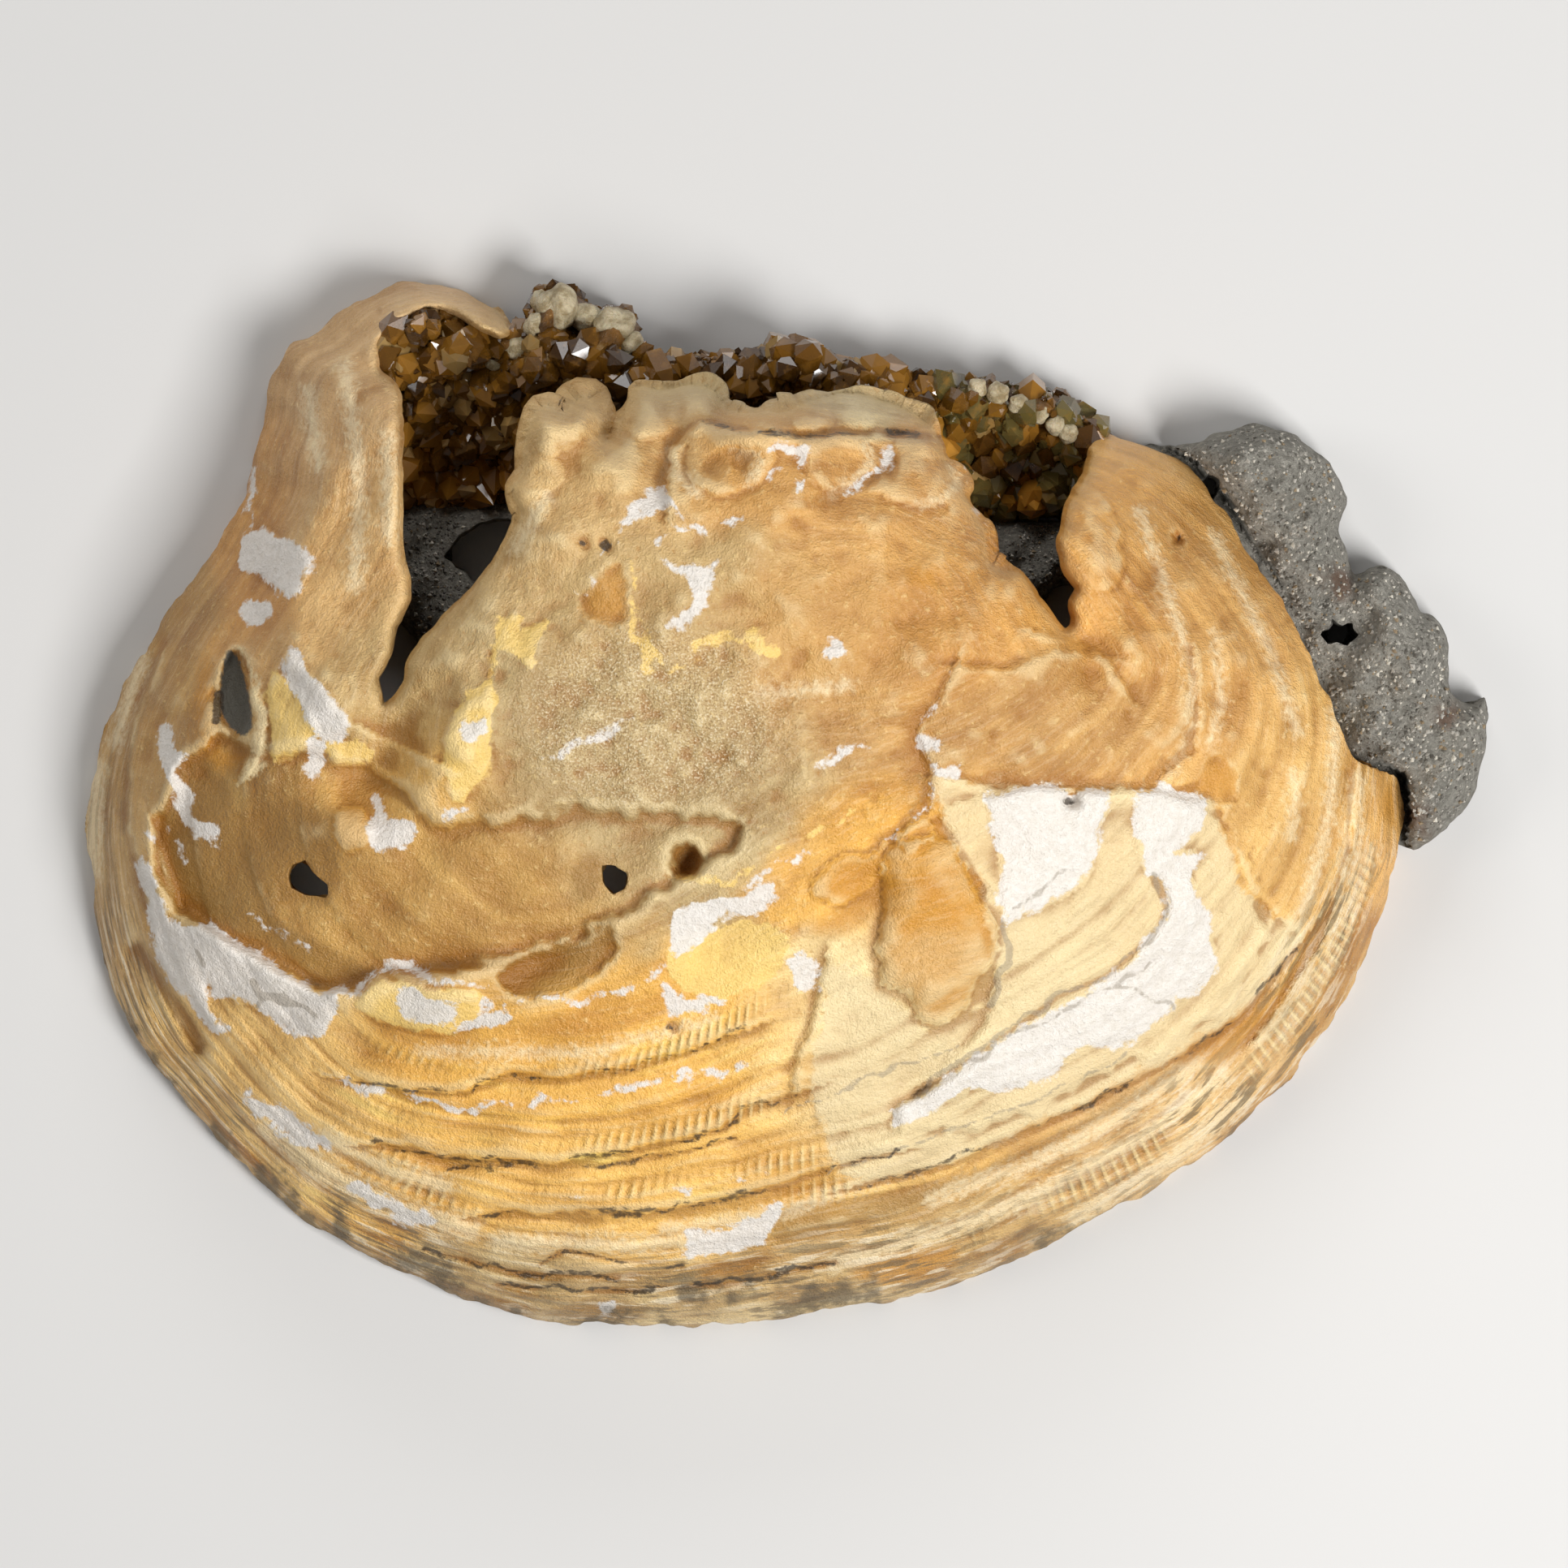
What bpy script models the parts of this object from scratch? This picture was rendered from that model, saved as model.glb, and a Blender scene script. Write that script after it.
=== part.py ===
"""Fossil clam valve with a dissolved beak, a calcite crystal crust in its hollow and grey matrix rock.

The valve lies hollow side down. Plan outlines are in millimetres, X along the shell's length,
Y towards the hinge side, Z up from the plane that the rim rests on.
"""
import math

import bmesh
import bpy
import numpy as np
from mathutils import Matrix, Vector

# Driving dimensions, in millimetres
SHELL_LENGTH = 110.0
DOME_HEIGHT = 31.0
RIM_THICKNESS = 0.9
WALL = 4.2
ROOF = 5.6
SEAT_GAP = 0.35
MATRIX_HEIGHT = 9.5
CRUST_HEIGHT = 9.0
CRYSTAL_WIDTH = 3.0
CRYSTAL_ROOT = 1.6

# The outlines below are drawn for a shell 110 mm long
UNIT = SHELL_LENGTH / 110.0 * 0.001
POLE = (-2.0, 12.0)
# Brings the middle of the whole object's plan onto the origin
CENTRE_SHIFT = (0.0, 0.285, 0.0)
SEGMENTS = 80

# Outer edge of the valve, from the tip of the left arm down, round the belly and back along the hinge
MARGIN = [
    (-32, 43.5), (-36, 42), (-39, 39.5), (-42, 38), (-43.2, 35), (-43.5, 32.5), (-44.4, 30), (-44.8, 27),
    (-46.3, 24), (-48.5, 20), (-51.5, 16), (-54.5, 11), (-56.8, 6), (-58, 1), (-58.3, -3), (-57.8, -8),
    (-56.8, -13), (-55.3, -17.5), (-53.3, -21.3), (-51, -24), (-47.5, -28), (-44, -31.5), (-40.5, -34.5),
    (-36.5, -37.2), (-31.5, -39.5), (-26, -41.8), (-20, -43.3), (-14, -43.7), (-8, -43.7), (-2, -43.3),
    (4, -42.3), (11, -41.1), (17, -39), (22.5, -36.5), (28.6, -33.4), (33.5, -30.4), (38.3, -26.6),
    (42.7, -22), (46.2, -17), (49, -11), (50.8, -5.5), (51.3, -1), (50.9, 2), (48, 3.1), (46.5, 5),
    (45, 8.5), (43, 13), (41, 17), (38.5, 21), (36, 25), (33.5, 28), (30, 29.8), (27, 30.8), (25, 32),
    (20, 34.7), (12, 35.8), (1, 37.6), (-6, 37), (-12.5, 37.6), (-17, 38.6), (-22.5, 40.3), (-25, 41.7),
    (-27.5, 42.9), (-30, 43.3),
]

# Part of the wall that has dissolved away round the beak, open to the hinge side
GAP = [
    (-21.8, 46), (-22.9, 39.2), (-25, 39.3), (-27.5, 40.8), (-29.5, 41.2), (-31.5, 40.2), (-33.6, 38.6),
    (-34, 36), (-32.4, 34.4), (-31.7, 31), (-32, 28.5), (-31.8, 25), (-31.8, 22), (-31.2, 17), (-32.3, 14.5),
    (-32.8, 12.3), (-33.6, 10.3), (-33.2, 8), (-31.5, 9), (-30.3, 12.6), (-28.5, 14.5), (-26.5, 16.5),
    (-24, 19.5), (-22.2, 22.5), (-21.8, 24), (-22.4, 25.7), (-21.5, 27), (-21.3, 30), (-20, 32.6),
    (-18.3, 31.9), (-16.7, 33.7), (-15.4, 32), (-14.7, 29.8), (-13.6, 31.5), (-12.6, 34.4), (-10.2, 33.9),
    (-8, 34.5), (-6, 33.9), (-4.8, 32.4), (-1, 32), (2, 33), (5, 33.9), (8, 33.2), (10.5, 32.3), (12.5, 30),
    (13.2, 28), (15, 24.5), (16.1, 22), (16.8, 19.6), (19, 18.7), (20.5, 16.7), (22.6, 14), (23.7, 14.6),
    (23.4, 16.5), (24, 17.8), (22.7, 19.6), (22.9, 23.4), (24.3, 26.2), (25.2, 28.6), (25.2, 31), (26, 46),
]

# Grey rock: the lump beside the shell and the floor that runs under it to both gaps
MATRIX = [
    (29, 29.3), (33, 29.7), (35, 30.3), (37.5, 31.2), (39.5, 31.4), (42, 30.6), (44.5, 28.9), (45.8, 27),
    (46.5, 24.7), (46, 22.6), (46.7, 20.5), (47.3, 18.8), (48.5, 19.4), (50, 19.4), (51.5, 18.2),
    (52.7, 16), (54, 15.2), (55, 13), (55, 10), (56, 8.6), (57.3, 8.3), (58, 8.6), (58.3, 5.5), (57.6, 2.6),
    (56.5, -0.3), (55, -1.8), (53.5, -3.3), (51.6, -3.7), (49.5, -1.5), (46, 3), (41, 9), (36, 14),
    (30, 17.2), (23, 18.2), (21.3, 16.6), (17, 13.5), (8, 11.5), (-10, 10.5), (-24, 11), (-29.8, 12.2),
    (-30.6, 13.4), (-32, 15), (-35, 16.8), (-37.2, 20), (-37, 23.4), (-35.5, 25.05), (-31, 25.05), (-19, 25.05),
    (-12, 24.8), (0, 24.2), (14, 23.5), (22.4, 23.5), (26.6, 24.6),
]
MATRIX_HOLE = [
    (-28.4, 20.5), (-27, 22.4), (-25.5, 23.3), (-23.5, 23.7), (-20.5, 23), (-20, 19.5), (-23, 16.8),
    (-25.8, 17.9), (-26.6, 19),
]

# Crystal crust: along the hinge side, down into both gaps, with the pale lumps at its back edge
CRUST = [
    (-35.6, 25.45), (-35.4, 31), (-35.2, 35), (-35.4, 37), (-34.2, 39), (-31.8, 40.5), (-29.3, 41.4),
    (-27.2, 41), (-25, 39.7), (-22.6, 39.5), (-21.6, 40.4), (-20.8, 42.2), (-19, 43), (-17.5, 42.2), (-15.8, 41), (-13.6, 41.3),
    (-12.4, 39.7), (-12.3, 37.9), (-10, 37.3), (-7, 37.2), (-3, 37.6), (-0.6, 38.3), (0.9, 38.5),
    (2.5, 37.5), (5, 36.5), (8, 36), (10.5, 35.2), (13, 35), (16, 35.5), (18.3, 34.8), (20.5, 34.2),
    (22.7, 33.9), (24.2, 32.9), (25.4, 31.9), (26.8, 30), (26.6, 27.3), (24.8, 25.1), (22.3, 23.9), (14, 23.9),
    (6, 26.5), (-6, 27.2), (-17, 26), (-20, 25.45),
]

# Waxy floor on the left where the outer layers are gone
LOWERED = [
    (-46.7, 5.8), (-50.2, 3.6), (-52.3, -3.5), (-50.3, -9), (-46, -11.5), (-42, -13.4), (-38, -15.6),
    (-35.3, -15.4), (-33.5, -13.8), (-27, -13.6), (-22.5, -12.2), (-18, -11), (-14.5, -9.5), (-10, -7),
    (-4, -4), (-3, -1.5), (-10, -1), (-17, 0), (-24, -1.5), (-29, -1.2), (-33, 2), (-38, 4.6), (-42, 4),
]

# Porcelain plate of outer layers, standing a little proud on the right
PLATE = [
    (12.5, 0), (17.5, 1), (25, 1.2), (32, 0.7), (36, -2), (38.5, -7), (39.3, -11), (36.5, -17), (30.5, -20.5),
    (25, -23), (18, -26.3), (9.5, -27), (9, -25), (14, -21), (17, -17), (17.5, -12), (16, -7), (13.5, -3),
]

# Lumps and hollows of the outer face: centre, half length, half width, turn in degrees, lift
FEATURES = [
    (-27.5, 6.5, 7.0, 3.2, 70, 1.5), (-33.0, 4.0, 7.5, 3.2, 50, -3.4), (-37.8, 9.5, 4.5, 2.2, -60, 1.2),
    (-26.5, 20.0, 11.0, 4.0, 50, -2.6), (-38.5, 27.0, 14.0, 2.6, 82, 1.3), (-36.5, -2.2, 3.0, 2.6, 0, 1.4),
    (-29.5, -16.0, 6.2, 2.2, 3, 0.9), (-12.0, 3.0, 11.0, 5.0, 20, -0.7), (-5.5, 28.0, 4.6, 3.2, 0, -0.9),
    (5.5, 27.5, 4.4, 3.0, 0, -0.9), (0.5, 30.5, 11.0, 1.9, 2, 1.0), (16.0, 12.0, 9.0, 5.0, -20, 0.8),
    (24.5, 12.0, 6.5, 2.4, -65, -1.9), (26.0, 21.5, 5.0, 2.6, 75, 1.2), (13.0, -10.5, 5.6, 7.2, 15, 1.1),
    (5.6, -6.0, 3.0, 2.0, 35, -0.8), (10.2, -2.6, 2.8, 1.8, 30, -0.6), (-5.0, -12.0, 5.0, 3.8, 25, -0.5),
    (30.5, 3.4, 5.0, 1.8, 10, -0.7), (32.5, 9.0, 5.0, 1.6, 85, 0.8), (-53.0, -15.5, 6.5, 1.5, -58, -1.1),
    (-20.0, -13.4, 4.0, 1.8, 20, -1.5), (-50.3, 2.0, 4.4, 1.1, 72, 0.9), (-40.0, 20.5, 7.0, 3.0, 70, 0.5),
]

# Rounded lobes on the free edge of the beak: centre, radius
LOBES = [
    (-19.8, 30.2, 2.4), (-17.0, 31.0, 2.6), (-11.4, 31.4, 3.0), (-7.6, 31.6, 3.0), (-3.4, 29.9, 2.8),
    (1.2, 30.2, 2.8), (5.2, 30.9, 3.0), (9.0, 30.2, 2.8), (11.6, 28.2, 2.4), (13.9, 24.4, 2.2),
]

# Share of the way from the pole to the edge where the third growth pause lies, by direction
PAUSE_TURN = [-180, -160, -135, -112, -90, -60, -45, -30, -15, 0, 30, 90, 135, 180]
PAUSE_SHARE = [0.80, 0.80, 0.78, 0.67, 0.58, 0.55, 0.57, 0.60, 0.67, 0.76, 0.8, 0.8, 0.8, 0.80]
# Growth steps on the belly: share of the outer band, drop
STEPS = [(0.06, 0.9), (0.30, 0.8), (0.52, 0.9), (0.74, 0.8)]


def curve_through(points, per=6):
    """Closed smooth line through plan points."""
    line = []
    count = len(points)
    for index in range(count):
        before, start, end, after = (np.array(points[(index + k) % count], float) for k in (-1, 0, 1, 2))
        for step in range(per):
            t = step / per
            line.append(0.5 * (2 * start + (end - before) * t
                               + (2 * before - 5 * start + 4 * end - after) * t ** 2
                               + (3 * start - before - 3 * end + after) * t ** 3))
    return np.array(line)


def edge_distance(x, y, points):
    """Distance to a closed plan outline, positive inside it."""
    best = np.full(x.shape, 1e9)
    inside = np.zeros(x.shape, bool)
    for (ax, ay), (bx, by) in zip(points, list(points[1:]) + [points[0]]):
        dx, dy = bx - ax, by - ay
        share = np.clip(((x - ax) * dx + (y - ay) * dy) / (dx * dx + dy * dy), 0, 1)
        best = np.minimum(best, np.hypot(x - ax - share * dx, y - ay - share * dy))
        if ay != by:
            crosses = ((ay > y) != (by > y)) & (x < dx * (y - ay) / dy + ax)
            inside ^= crosses
    return np.where(inside, best, -best)


def ease(value):
    """Smooth step from 0 to 1."""
    value = np.clip(value, 0, 1)
    return value * value * (3 - 2 * value)


def polar_margin():
    line = curve_through(MARGIN) - np.array(POLE)
    turn = np.arctan2(line[:, 1], line[:, 0])
    order = np.argsort(turn)
    return turn[order], np.hypot(line[:, 0], line[:, 1])[order]


MARGIN_TURN, MARGIN_REACH = polar_margin()


def reach(turn):
    """Distance from the pole to the valve's edge in a direction."""
    return np.interp(turn, MARGIN_TURN, MARGIN_REACH, period=2 * math.pi)


def between(turn, low, high, soft):
    """1 between two directions in degrees, with soft ends."""
    degrees = np.degrees(turn)
    return ease((degrees - low) / soft + 0.5) * ease((high - degrees) / soft + 0.5)


def rim_height(turn):
    """The edge is blunt; on the right it rides up over the rock."""
    return RIM_THICKNESS + 7.2 * between(turn, -12.5, 39, 5)


def pause_share(turn):
    return np.interp(np.degrees(turn), PAUSE_TURN, PAUSE_SHARE)


def polar(x, y):
    dx, dy = x - POLE[0], y - POLE[1]
    turn = np.arctan2(dy, dx)
    return turn, np.hypot(dx, dy) / reach(turn)


def dome(x, y):
    """Smooth height of the valve before relief."""
    turn, share = polar(x, y)
    hinge = between(turn, 62, 112, 50)
    power = 2.4 + 1.6 * hinge
    bend = 0.74 - 0.14 * hinge
    rim = rim_height(turn)
    return rim + (DOME_HEIGHT - rim) * np.clip(1 - np.clip(share, 0, 1) ** power, 0, 1) ** bend


def relief(x, y):
    """Growth steps, ledges, plates and lumps on the outer face."""
    turn, share = polar(x, y)
    start = pause_share(turn)
    band = (share - start) / (1 - start)
    belly = between(turn, -150, -18, 26)
    lift = np.zeros(x.shape)
    for place, drop in STEPS:
        lift = lift + belly * drop * (ease((place - band) / 0.05 + 0.5) - ease((place - band) / 0.24))
    lift = lift - 1.5 * ease(edge_distance(x, y, LOWERED) / 2.2 + 0.35)
    lift = lift + 0.8 * ease(edge_distance(x, y, PLATE) / 1.6 + 0.5)
    for cx, cy, length, width, tilt, height in FEATURES:
        angle = math.radians(tilt)
        u = ((x - cx) * math.cos(angle) + (y - cy) * math.sin(angle)) / length
        v = ((y - cy) * math.cos(angle) - (x - cx) * math.sin(angle)) / width
        lift = lift + height * np.exp(-1.3 * (u * u + v * v))
    lift = lift + 0.25 * np.sin(0.42 * x + 0.9) * np.sin(0.5 * y) + 0.18 * np.sin(0.8 * x - 0.7 * y)
    return lift * ease((1 - share) / 0.07)


def outer_face(x, y):
    return dome(x, y) + relief(x, y)


def inner_reach(turn):
    """The hollow runs out through the hinge side under the beak."""
    return reach(turn) - WALL + 12.5 * between(turn, 50, 118, 16)


def inner_face(turn, share):
    hinge = between(turn, 55, 122, 34)
    power = 2.4 - 0.5 * hinge
    bend = 0.74 + 0.26 * hinge
    roof = DOME_HEIGHT - ROOF
    return RIM_THICKNESS + (roof - RIM_THICKNESS) * np.clip(1 - share ** power, 0, 1) ** bend


def rock_face(x, y):
    """Lumpy top of the grey rock."""
    edge = edge_distance(x, y, MATRIX)
    outside = ease((-edge_distance(x, y, MARGIN) + 2.0) / 5.0)
    top = 5.2 + 1.3 * ease((x - 24) / 10) + (MATRIX_HEIGHT - 6.5) * outside
    top = top + 0.5 * np.sin(0.75 * x + 1.0) * np.sin(0.65 * y + 0.4) + 0.4 * np.sin(1.35 * x - 1.1 * y)
    for cx, cy, size, height in ((39.5, 27, 4.2, 1.8), (51, 9.5, 4.6, 1.6), (46.3, 18.2, 2.4, -2.6),
                                 (55.3, 3.5, 3.0, -0.6), (36, 29, 2.5, 0.6), (50.5, 15.5, 3.0, 0.8)):
        top = top + outside * height * np.exp(-((x - cx) ** 2 + (y - cy) ** 2) / size ** 2)
    rounded = np.sqrt(np.clip(1 - (1 - np.clip((edge + 0.3) / 3.6, 0, 1)) ** 2, 0.1, 1))
    return top * rounded


def crust_face(x, y):
    """Sloping, uneven base that the crystals stand on."""
    edge = edge_distance(x, y, CRUST)
    depth = ease((y - 25) / 13)
    top = 3.6 + (CRUST_HEIGHT - 3.6) * depth
    top = top + 0.7 * np.sin(1.1 * x + 0.5) * np.sin(0.9 * y) + 0.5 * np.sin(0.63 * x - 1.7 * y)
    for cx, cy, size, height in ((-24.0, 27.0, 2.4, -2.0), (-18.0, 39.6, 1.5, -3.0), (-27.5, 33.5, 3.0, -1.2),
                                 (19.5, 28.0, 3.2, -1.0), (0.5, 36.5, 2.4, 1.2), (-4.0, 35.5, 2.0, -1.0),
                                 (21.5, 32.5, 2.0, 1.4), (14.5, 34.0, 2.0, 1.0)):
        top = top + height * np.exp(-((x - cx) ** 2 + (y - cy) ** 2) / size ** 2)
    rounded = np.sqrt(np.clip(1 - (1 - np.clip((edge + 0.2) / 2.2, 0, 1)) ** 2, 0.12, 1))
    return top * rounded


def new_object(name, mesh_data, home):
    piece = bpy.data.objects.new(name, mesh_data)
    home.objects.link(piece)
    return piece


def finish_mesh(bm, name):
    bmesh.ops.recalc_face_normals(bm, faces=bm.faces)
    data = bpy.data.meshes.new(name)
    bm.to_mesh(data)
    bm.free()
    return data


def loft_dome(name, rings, low, home):
    """Rings of plan points with heights, joined from the pole out, with a skirt and a flat underside."""
    bm = bmesh.new()
    pole = bm.verts.new(rings[0][0])
    previous = None
    for ring in rings[1:] + [[Vector((p.x, p.y, low * UNIT)) for p in rings[-1]]]:
        current = [bm.verts.new(point) for point in ring]
        count = len(current)
        for index in range(count):
            after = (index + 1) % count
            if previous is None:
                bm.faces.new((pole, current[index], current[after]))
            else:
                bm.faces.new((previous[index], current[index], current[after], previous[after]))
        previous = current
    bm.faces.new(list(reversed(previous)))
    return new_object(name, finish_mesh(bm, name), home)


def height_block(name, outline, top, low, spacing, grow, lift, home):
    """Block over a plan outline whose top follows a height function."""
    line = np.array(outline, float)
    if grow:
        line = offset_outline(line, grow)
    lo = np.floor((line.min(axis=0) - 1.0) / spacing) * spacing
    hi = np.ceil((line.max(axis=0) + 1.0) / spacing) * spacing
    cells = np.round((hi - lo) / spacing).astype(int)
    bm = bmesh.new()
    bmesh.ops.create_grid(bm, x_segments=int(cells[0]), y_segments=int(cells[1]), size=0.5)
    for vert in bm.verts:
        vert.co.x = lo[0] + (vert.co.x + 0.5) * (hi[0] - lo[0])
        vert.co.y = lo[1] + (vert.co.y + 0.5) * (hi[1] - lo[1])
    x = np.array([vert.co.x for vert in bm.verts])
    y = np.array([vert.co.y for vert in bm.verts])
    heights = np.maximum(top(x, y) + lift, low + 0.4)
    bmesh.ops.triangulate(bm, faces=bm.faces, quad_method="FIXED")
    lower = bmesh.ops.extrude_face_region(bm, geom=list(bm.faces))
    under = {item for item in lower["geom"] if isinstance(item, bmesh.types.BMVert)}
    upper = [vert for vert in bm.verts if vert not in under]
    for vert in under:
        vert.co.z = low
    for vert, height in zip(upper, heights):
        vert.co.z = float(height)
    for vert in bm.verts:
        vert.co *= UNIT
    block = new_object(name, finish_mesh(bm, name), home)
    wall = prism(name + "_outline", line, low - 1, 60, CUTTERS)
    combine(block, wall, "INTERSECT")
    return block


def offset_outline(line, amount):
    """Plan outline moved outwards."""
    before, after = np.roll(line, 1, axis=0), np.roll(line, -1, axis=0)
    along = after - before
    area = np.sum(line[:, 0] * after[:, 1] - after[:, 0] * line[:, 1])
    normal = np.stack([along[:, 1], -along[:, 0]], axis=1) * (1 if area > 0 else -1)
    return line + amount * normal / np.linalg.norm(normal, axis=1)[:, None]


def prism(name, outline, low, high, home):
    """Upright prism over a plan outline."""
    bm = bmesh.new()
    base = bm.faces.new([bm.verts.new((float(x) * UNIT, float(y) * UNIT, low * UNIT)) for x, y in outline])
    raised = bmesh.ops.extrude_face_region(bm, geom=[base])
    for item in raised["geom"]:
        if isinstance(item, bmesh.types.BMVert):
            item.co.z = high * UNIT
    return new_object(name, finish_mesh(bm, name), home)


def blob(name, centre, radii, tilt, detail, home):
    """Squashed ball."""
    bm = bmesh.new()
    bmesh.ops.create_icosphere(bm, subdivisions=detail, radius=UNIT)
    bmesh.ops.scale(bm, vec=Vector(radii), verts=bm.verts)
    bmesh.ops.rotate(bm, matrix=Matrix.Rotation(math.radians(tilt), 3, "Z"), verts=bm.verts)
    bmesh.ops.translate(bm, vec=Vector(centre) * UNIT, verts=bm.verts)
    return new_object(name, finish_mesh(bm, name), home)


def combine(piece, other, operation):
    """Boolean by modifier, made real at once."""
    modifier = piece.modifiers.new(operation.lower(), "BOOLEAN")
    modifier.operation = operation
    modifier.object = other
    modifier.solver = "EXACT"
    bpy.context.view_layer.update()
    result = bpy.data.meshes.new_from_object(piece.evaluated_get(bpy.context.evaluated_depsgraph_get()))
    piece.modifiers.clear()
    old = piece.data
    piece.data = result
    bpy.data.meshes.remove(old)


def clean(piece, limit=0.000004):
    """Join doubled points and leave triangles."""
    bm = bmesh.new()
    bm.from_mesh(piece.data)
    bmesh.ops.remove_doubles(bm, verts=bm.verts, dist=limit)
    bmesh.ops.triangulate(bm, faces=bm.faces)
    folded = {}
    for face in bm.faces:
        folded.setdefault(frozenset(vert.index for vert in face.verts), []).append(face)
    twins = [face for pair in folded.values() if len(pair) > 1 for face in pair]
    bmesh.ops.delete(bm, geom=twins, context="FACES")
    bmesh.ops.recalc_face_normals(bm, faces=bm.faces)
    bm.to_mesh(piece.data)
    bm.free()


def material(name, colour, roughness, clear=0.0):
    made = bpy.data.materials.new(name)
    made.use_nodes = True
    surface = made.node_tree.nodes["Principled BSDF"]
    surface.inputs["Base Color"].default_value = (*colour, 1)
    surface.inputs["Roughness"].default_value = roughness
    surface.inputs["Transmission Weight"].default_value = clear
    made.diffuse_color = (*colour, 1)
    return made


def ring_points(shares, height):
    """Plan rings about the pole; each share is a function of direction."""
    turns = np.linspace(-math.pi, math.pi, SEGMENTS, endpoint=False)
    rings = []
    for share in shares:
        spot = share(turns) * reach(turns)
        x, y = POLE[0] + spot * np.cos(turns), POLE[1] + spot * np.sin(turns)
        z = height(x, y)
        rings.append([Vector((a * UNIT, b * UNIT, c * UNIT)) for a, b, c in zip(x, y, z)])
    return rings


def make_shell(home):
    inner = [0.14, 0.28, 0.42, 0.55, 0.67, 0.78, 0.89, 1.0]
    outer = [0.035, 0.085, 0.18, 0.275, 0.325, 0.41, 0.495, 0.545, 0.715, 0.765, 0.87, 0.95, 1.0]
    shares = [lambda turn, f=f: f * pause_share(turn) for f in inner]
    shares += [lambda turn, f=f: pause_share(turn) + f * (1 - pause_share(turn)) for f in outer]
    top = float(outer_face(np.array([POLE[0]]), np.array([POLE[1]]))[0])
    centre = [Vector((POLE[0] * UNIT, POLE[1] * UNIT, top * UNIT))]
    shell = loft_dome("shell_valve", [centre] + ring_points(shares, outer_face), 0, home)

    turns = np.linspace(-math.pi, math.pi, 56, endpoint=False)
    rings = [[Vector((POLE[0] * UNIT, POLE[1] * UNIT, (DOME_HEIGHT - ROOF) * UNIT))]]
    for share in (0.2, 0.4, 0.58, 0.73, 0.85, 0.93, 0.98, 1.0):
        spot = share * inner_reach(turns)
        z = inner_face(turns, np.full(turns.shape, share))
        rings.append([Vector(((POLE[0] + r * math.cos(t)) * UNIT, (POLE[1] + r * math.sin(t)) * UNIT, h * UNIT))
                      for r, t, h in zip(spot, turns, z)])
    hollow = loft_dome("hollow", rings, -2, CUTTERS)
    combine(shell, hollow, "DIFFERENCE")
    combine(shell, prism("gap", GAP, -2, 60, CUTTERS), "DIFFERENCE")

    for index, (x, y, radius) in enumerate(LOBES):
        edge = float(outer_face(np.array([x]), np.array([y]))[0])
        lobe = blob("lobe_%d" % index, (x, y, edge - 0.62 * radius), (radius, radius, radius * 0.95), 17 * index, 2,
                    CUTTERS)
        combine(shell, lobe, "UNION")

    rock_seat = height_block("rock_seat", MATRIX, rock_face, -2, 2.5, 0.6, SEAT_GAP, CUTTERS)
    combine(shell, rock_seat, "DIFFERENCE")
    crust_seat = height_block("crust_seat", CRUST, crust_face, -2, 2.0, 0.8, SEAT_GAP + 0.1, CUTTERS)
    combine(shell, crust_seat, "DIFFERENCE")

    left_hole = [(-41, -6), (-40.5, -5), (-39.5, -4.7), (-38.9, -5.7), (-37.7, -6.5), (-37.6, -7.7), (-39, -7.6),
                 (-40.7, -7)]
    right_hole = [(-15.1, -5), (-14, -5), (-13, -5.7), (-13, -7), (-14.2, -7.5), (-15, -6.5)]
    combine(shell, prism("left_hole", left_hole, -2, 60, CUTTERS), "DIFFERENCE")
    combine(shell, prism("right_hole", right_hole, -2, 60, CUTTERS), "DIFFERENCE")
    pits = [((-8.0, -4.5), (1.1, 1.2, 1.6), 0), ((-45.4, 9.0), (3.6, 1.3, 2.2), 96), ((23.3, 0.3), (0.8, 0.8, 1), 0)]
    for index, ((x, y), radii, tilt) in enumerate(pits):
        level = float(outer_face(np.array([x]), np.array([y]))[0])
        combine(shell, blob("pit_%d" % index, (x, y, level), radii, tilt, 2, CUTTERS), "DIFFERENCE")
    flap_level = float(outer_face(np.array([-36.4]), np.array([-6.6]))[0])
    flap = blob("calcite_flap", (-36.4, -6.6, flap_level), (1.5, 1.0, 0.7), 60, 1, CUTTERS)
    combine(shell, flap, "UNION")
    clean(shell)
    return shell


def make_rock(home):
    rock = height_block("matrix_rock", MATRIX, rock_face, 0, 2.5, 0, 0, home)
    combine(rock, prism("rock_hole", MATRIX_HOLE, -2, 60, CUTTERS), "DIFFERENCE")
    combine(rock, blob("rock_oval", (35.2, 26.2, 6), (0.8, 1.1, 9), 0, 2, CUTTERS), "DIFFERENCE")
    slot = [(44.3, 14.2), (45.3, 15), (46.6, 14.6), (47.5, 13.9), (46.6, 13.2), (45.2, 13.3)]
    combine(rock, prism("rock_slot", slot, -2, 60, CUTTERS), "DIFFERENCE")
    clean(rock)
    return rock


def crystal(bm, place, direction, width, length):
    """Six-sided pointed crystal standing along a direction."""
    turn = Vector((0, 0, 1)).rotation_difference(direction).to_matrix().to_4x4()
    frame = Matrix.Translation(place) @ turn @ Matrix.Translation((0, 0, length * 0.5 - CRYSTAL_ROOT * UNIT))
    bmesh.ops.create_cone(bm, cap_ends=True, segments=6, radius1=width / 2, radius2=width * 0.1, depth=length,
                          matrix=frame)


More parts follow.
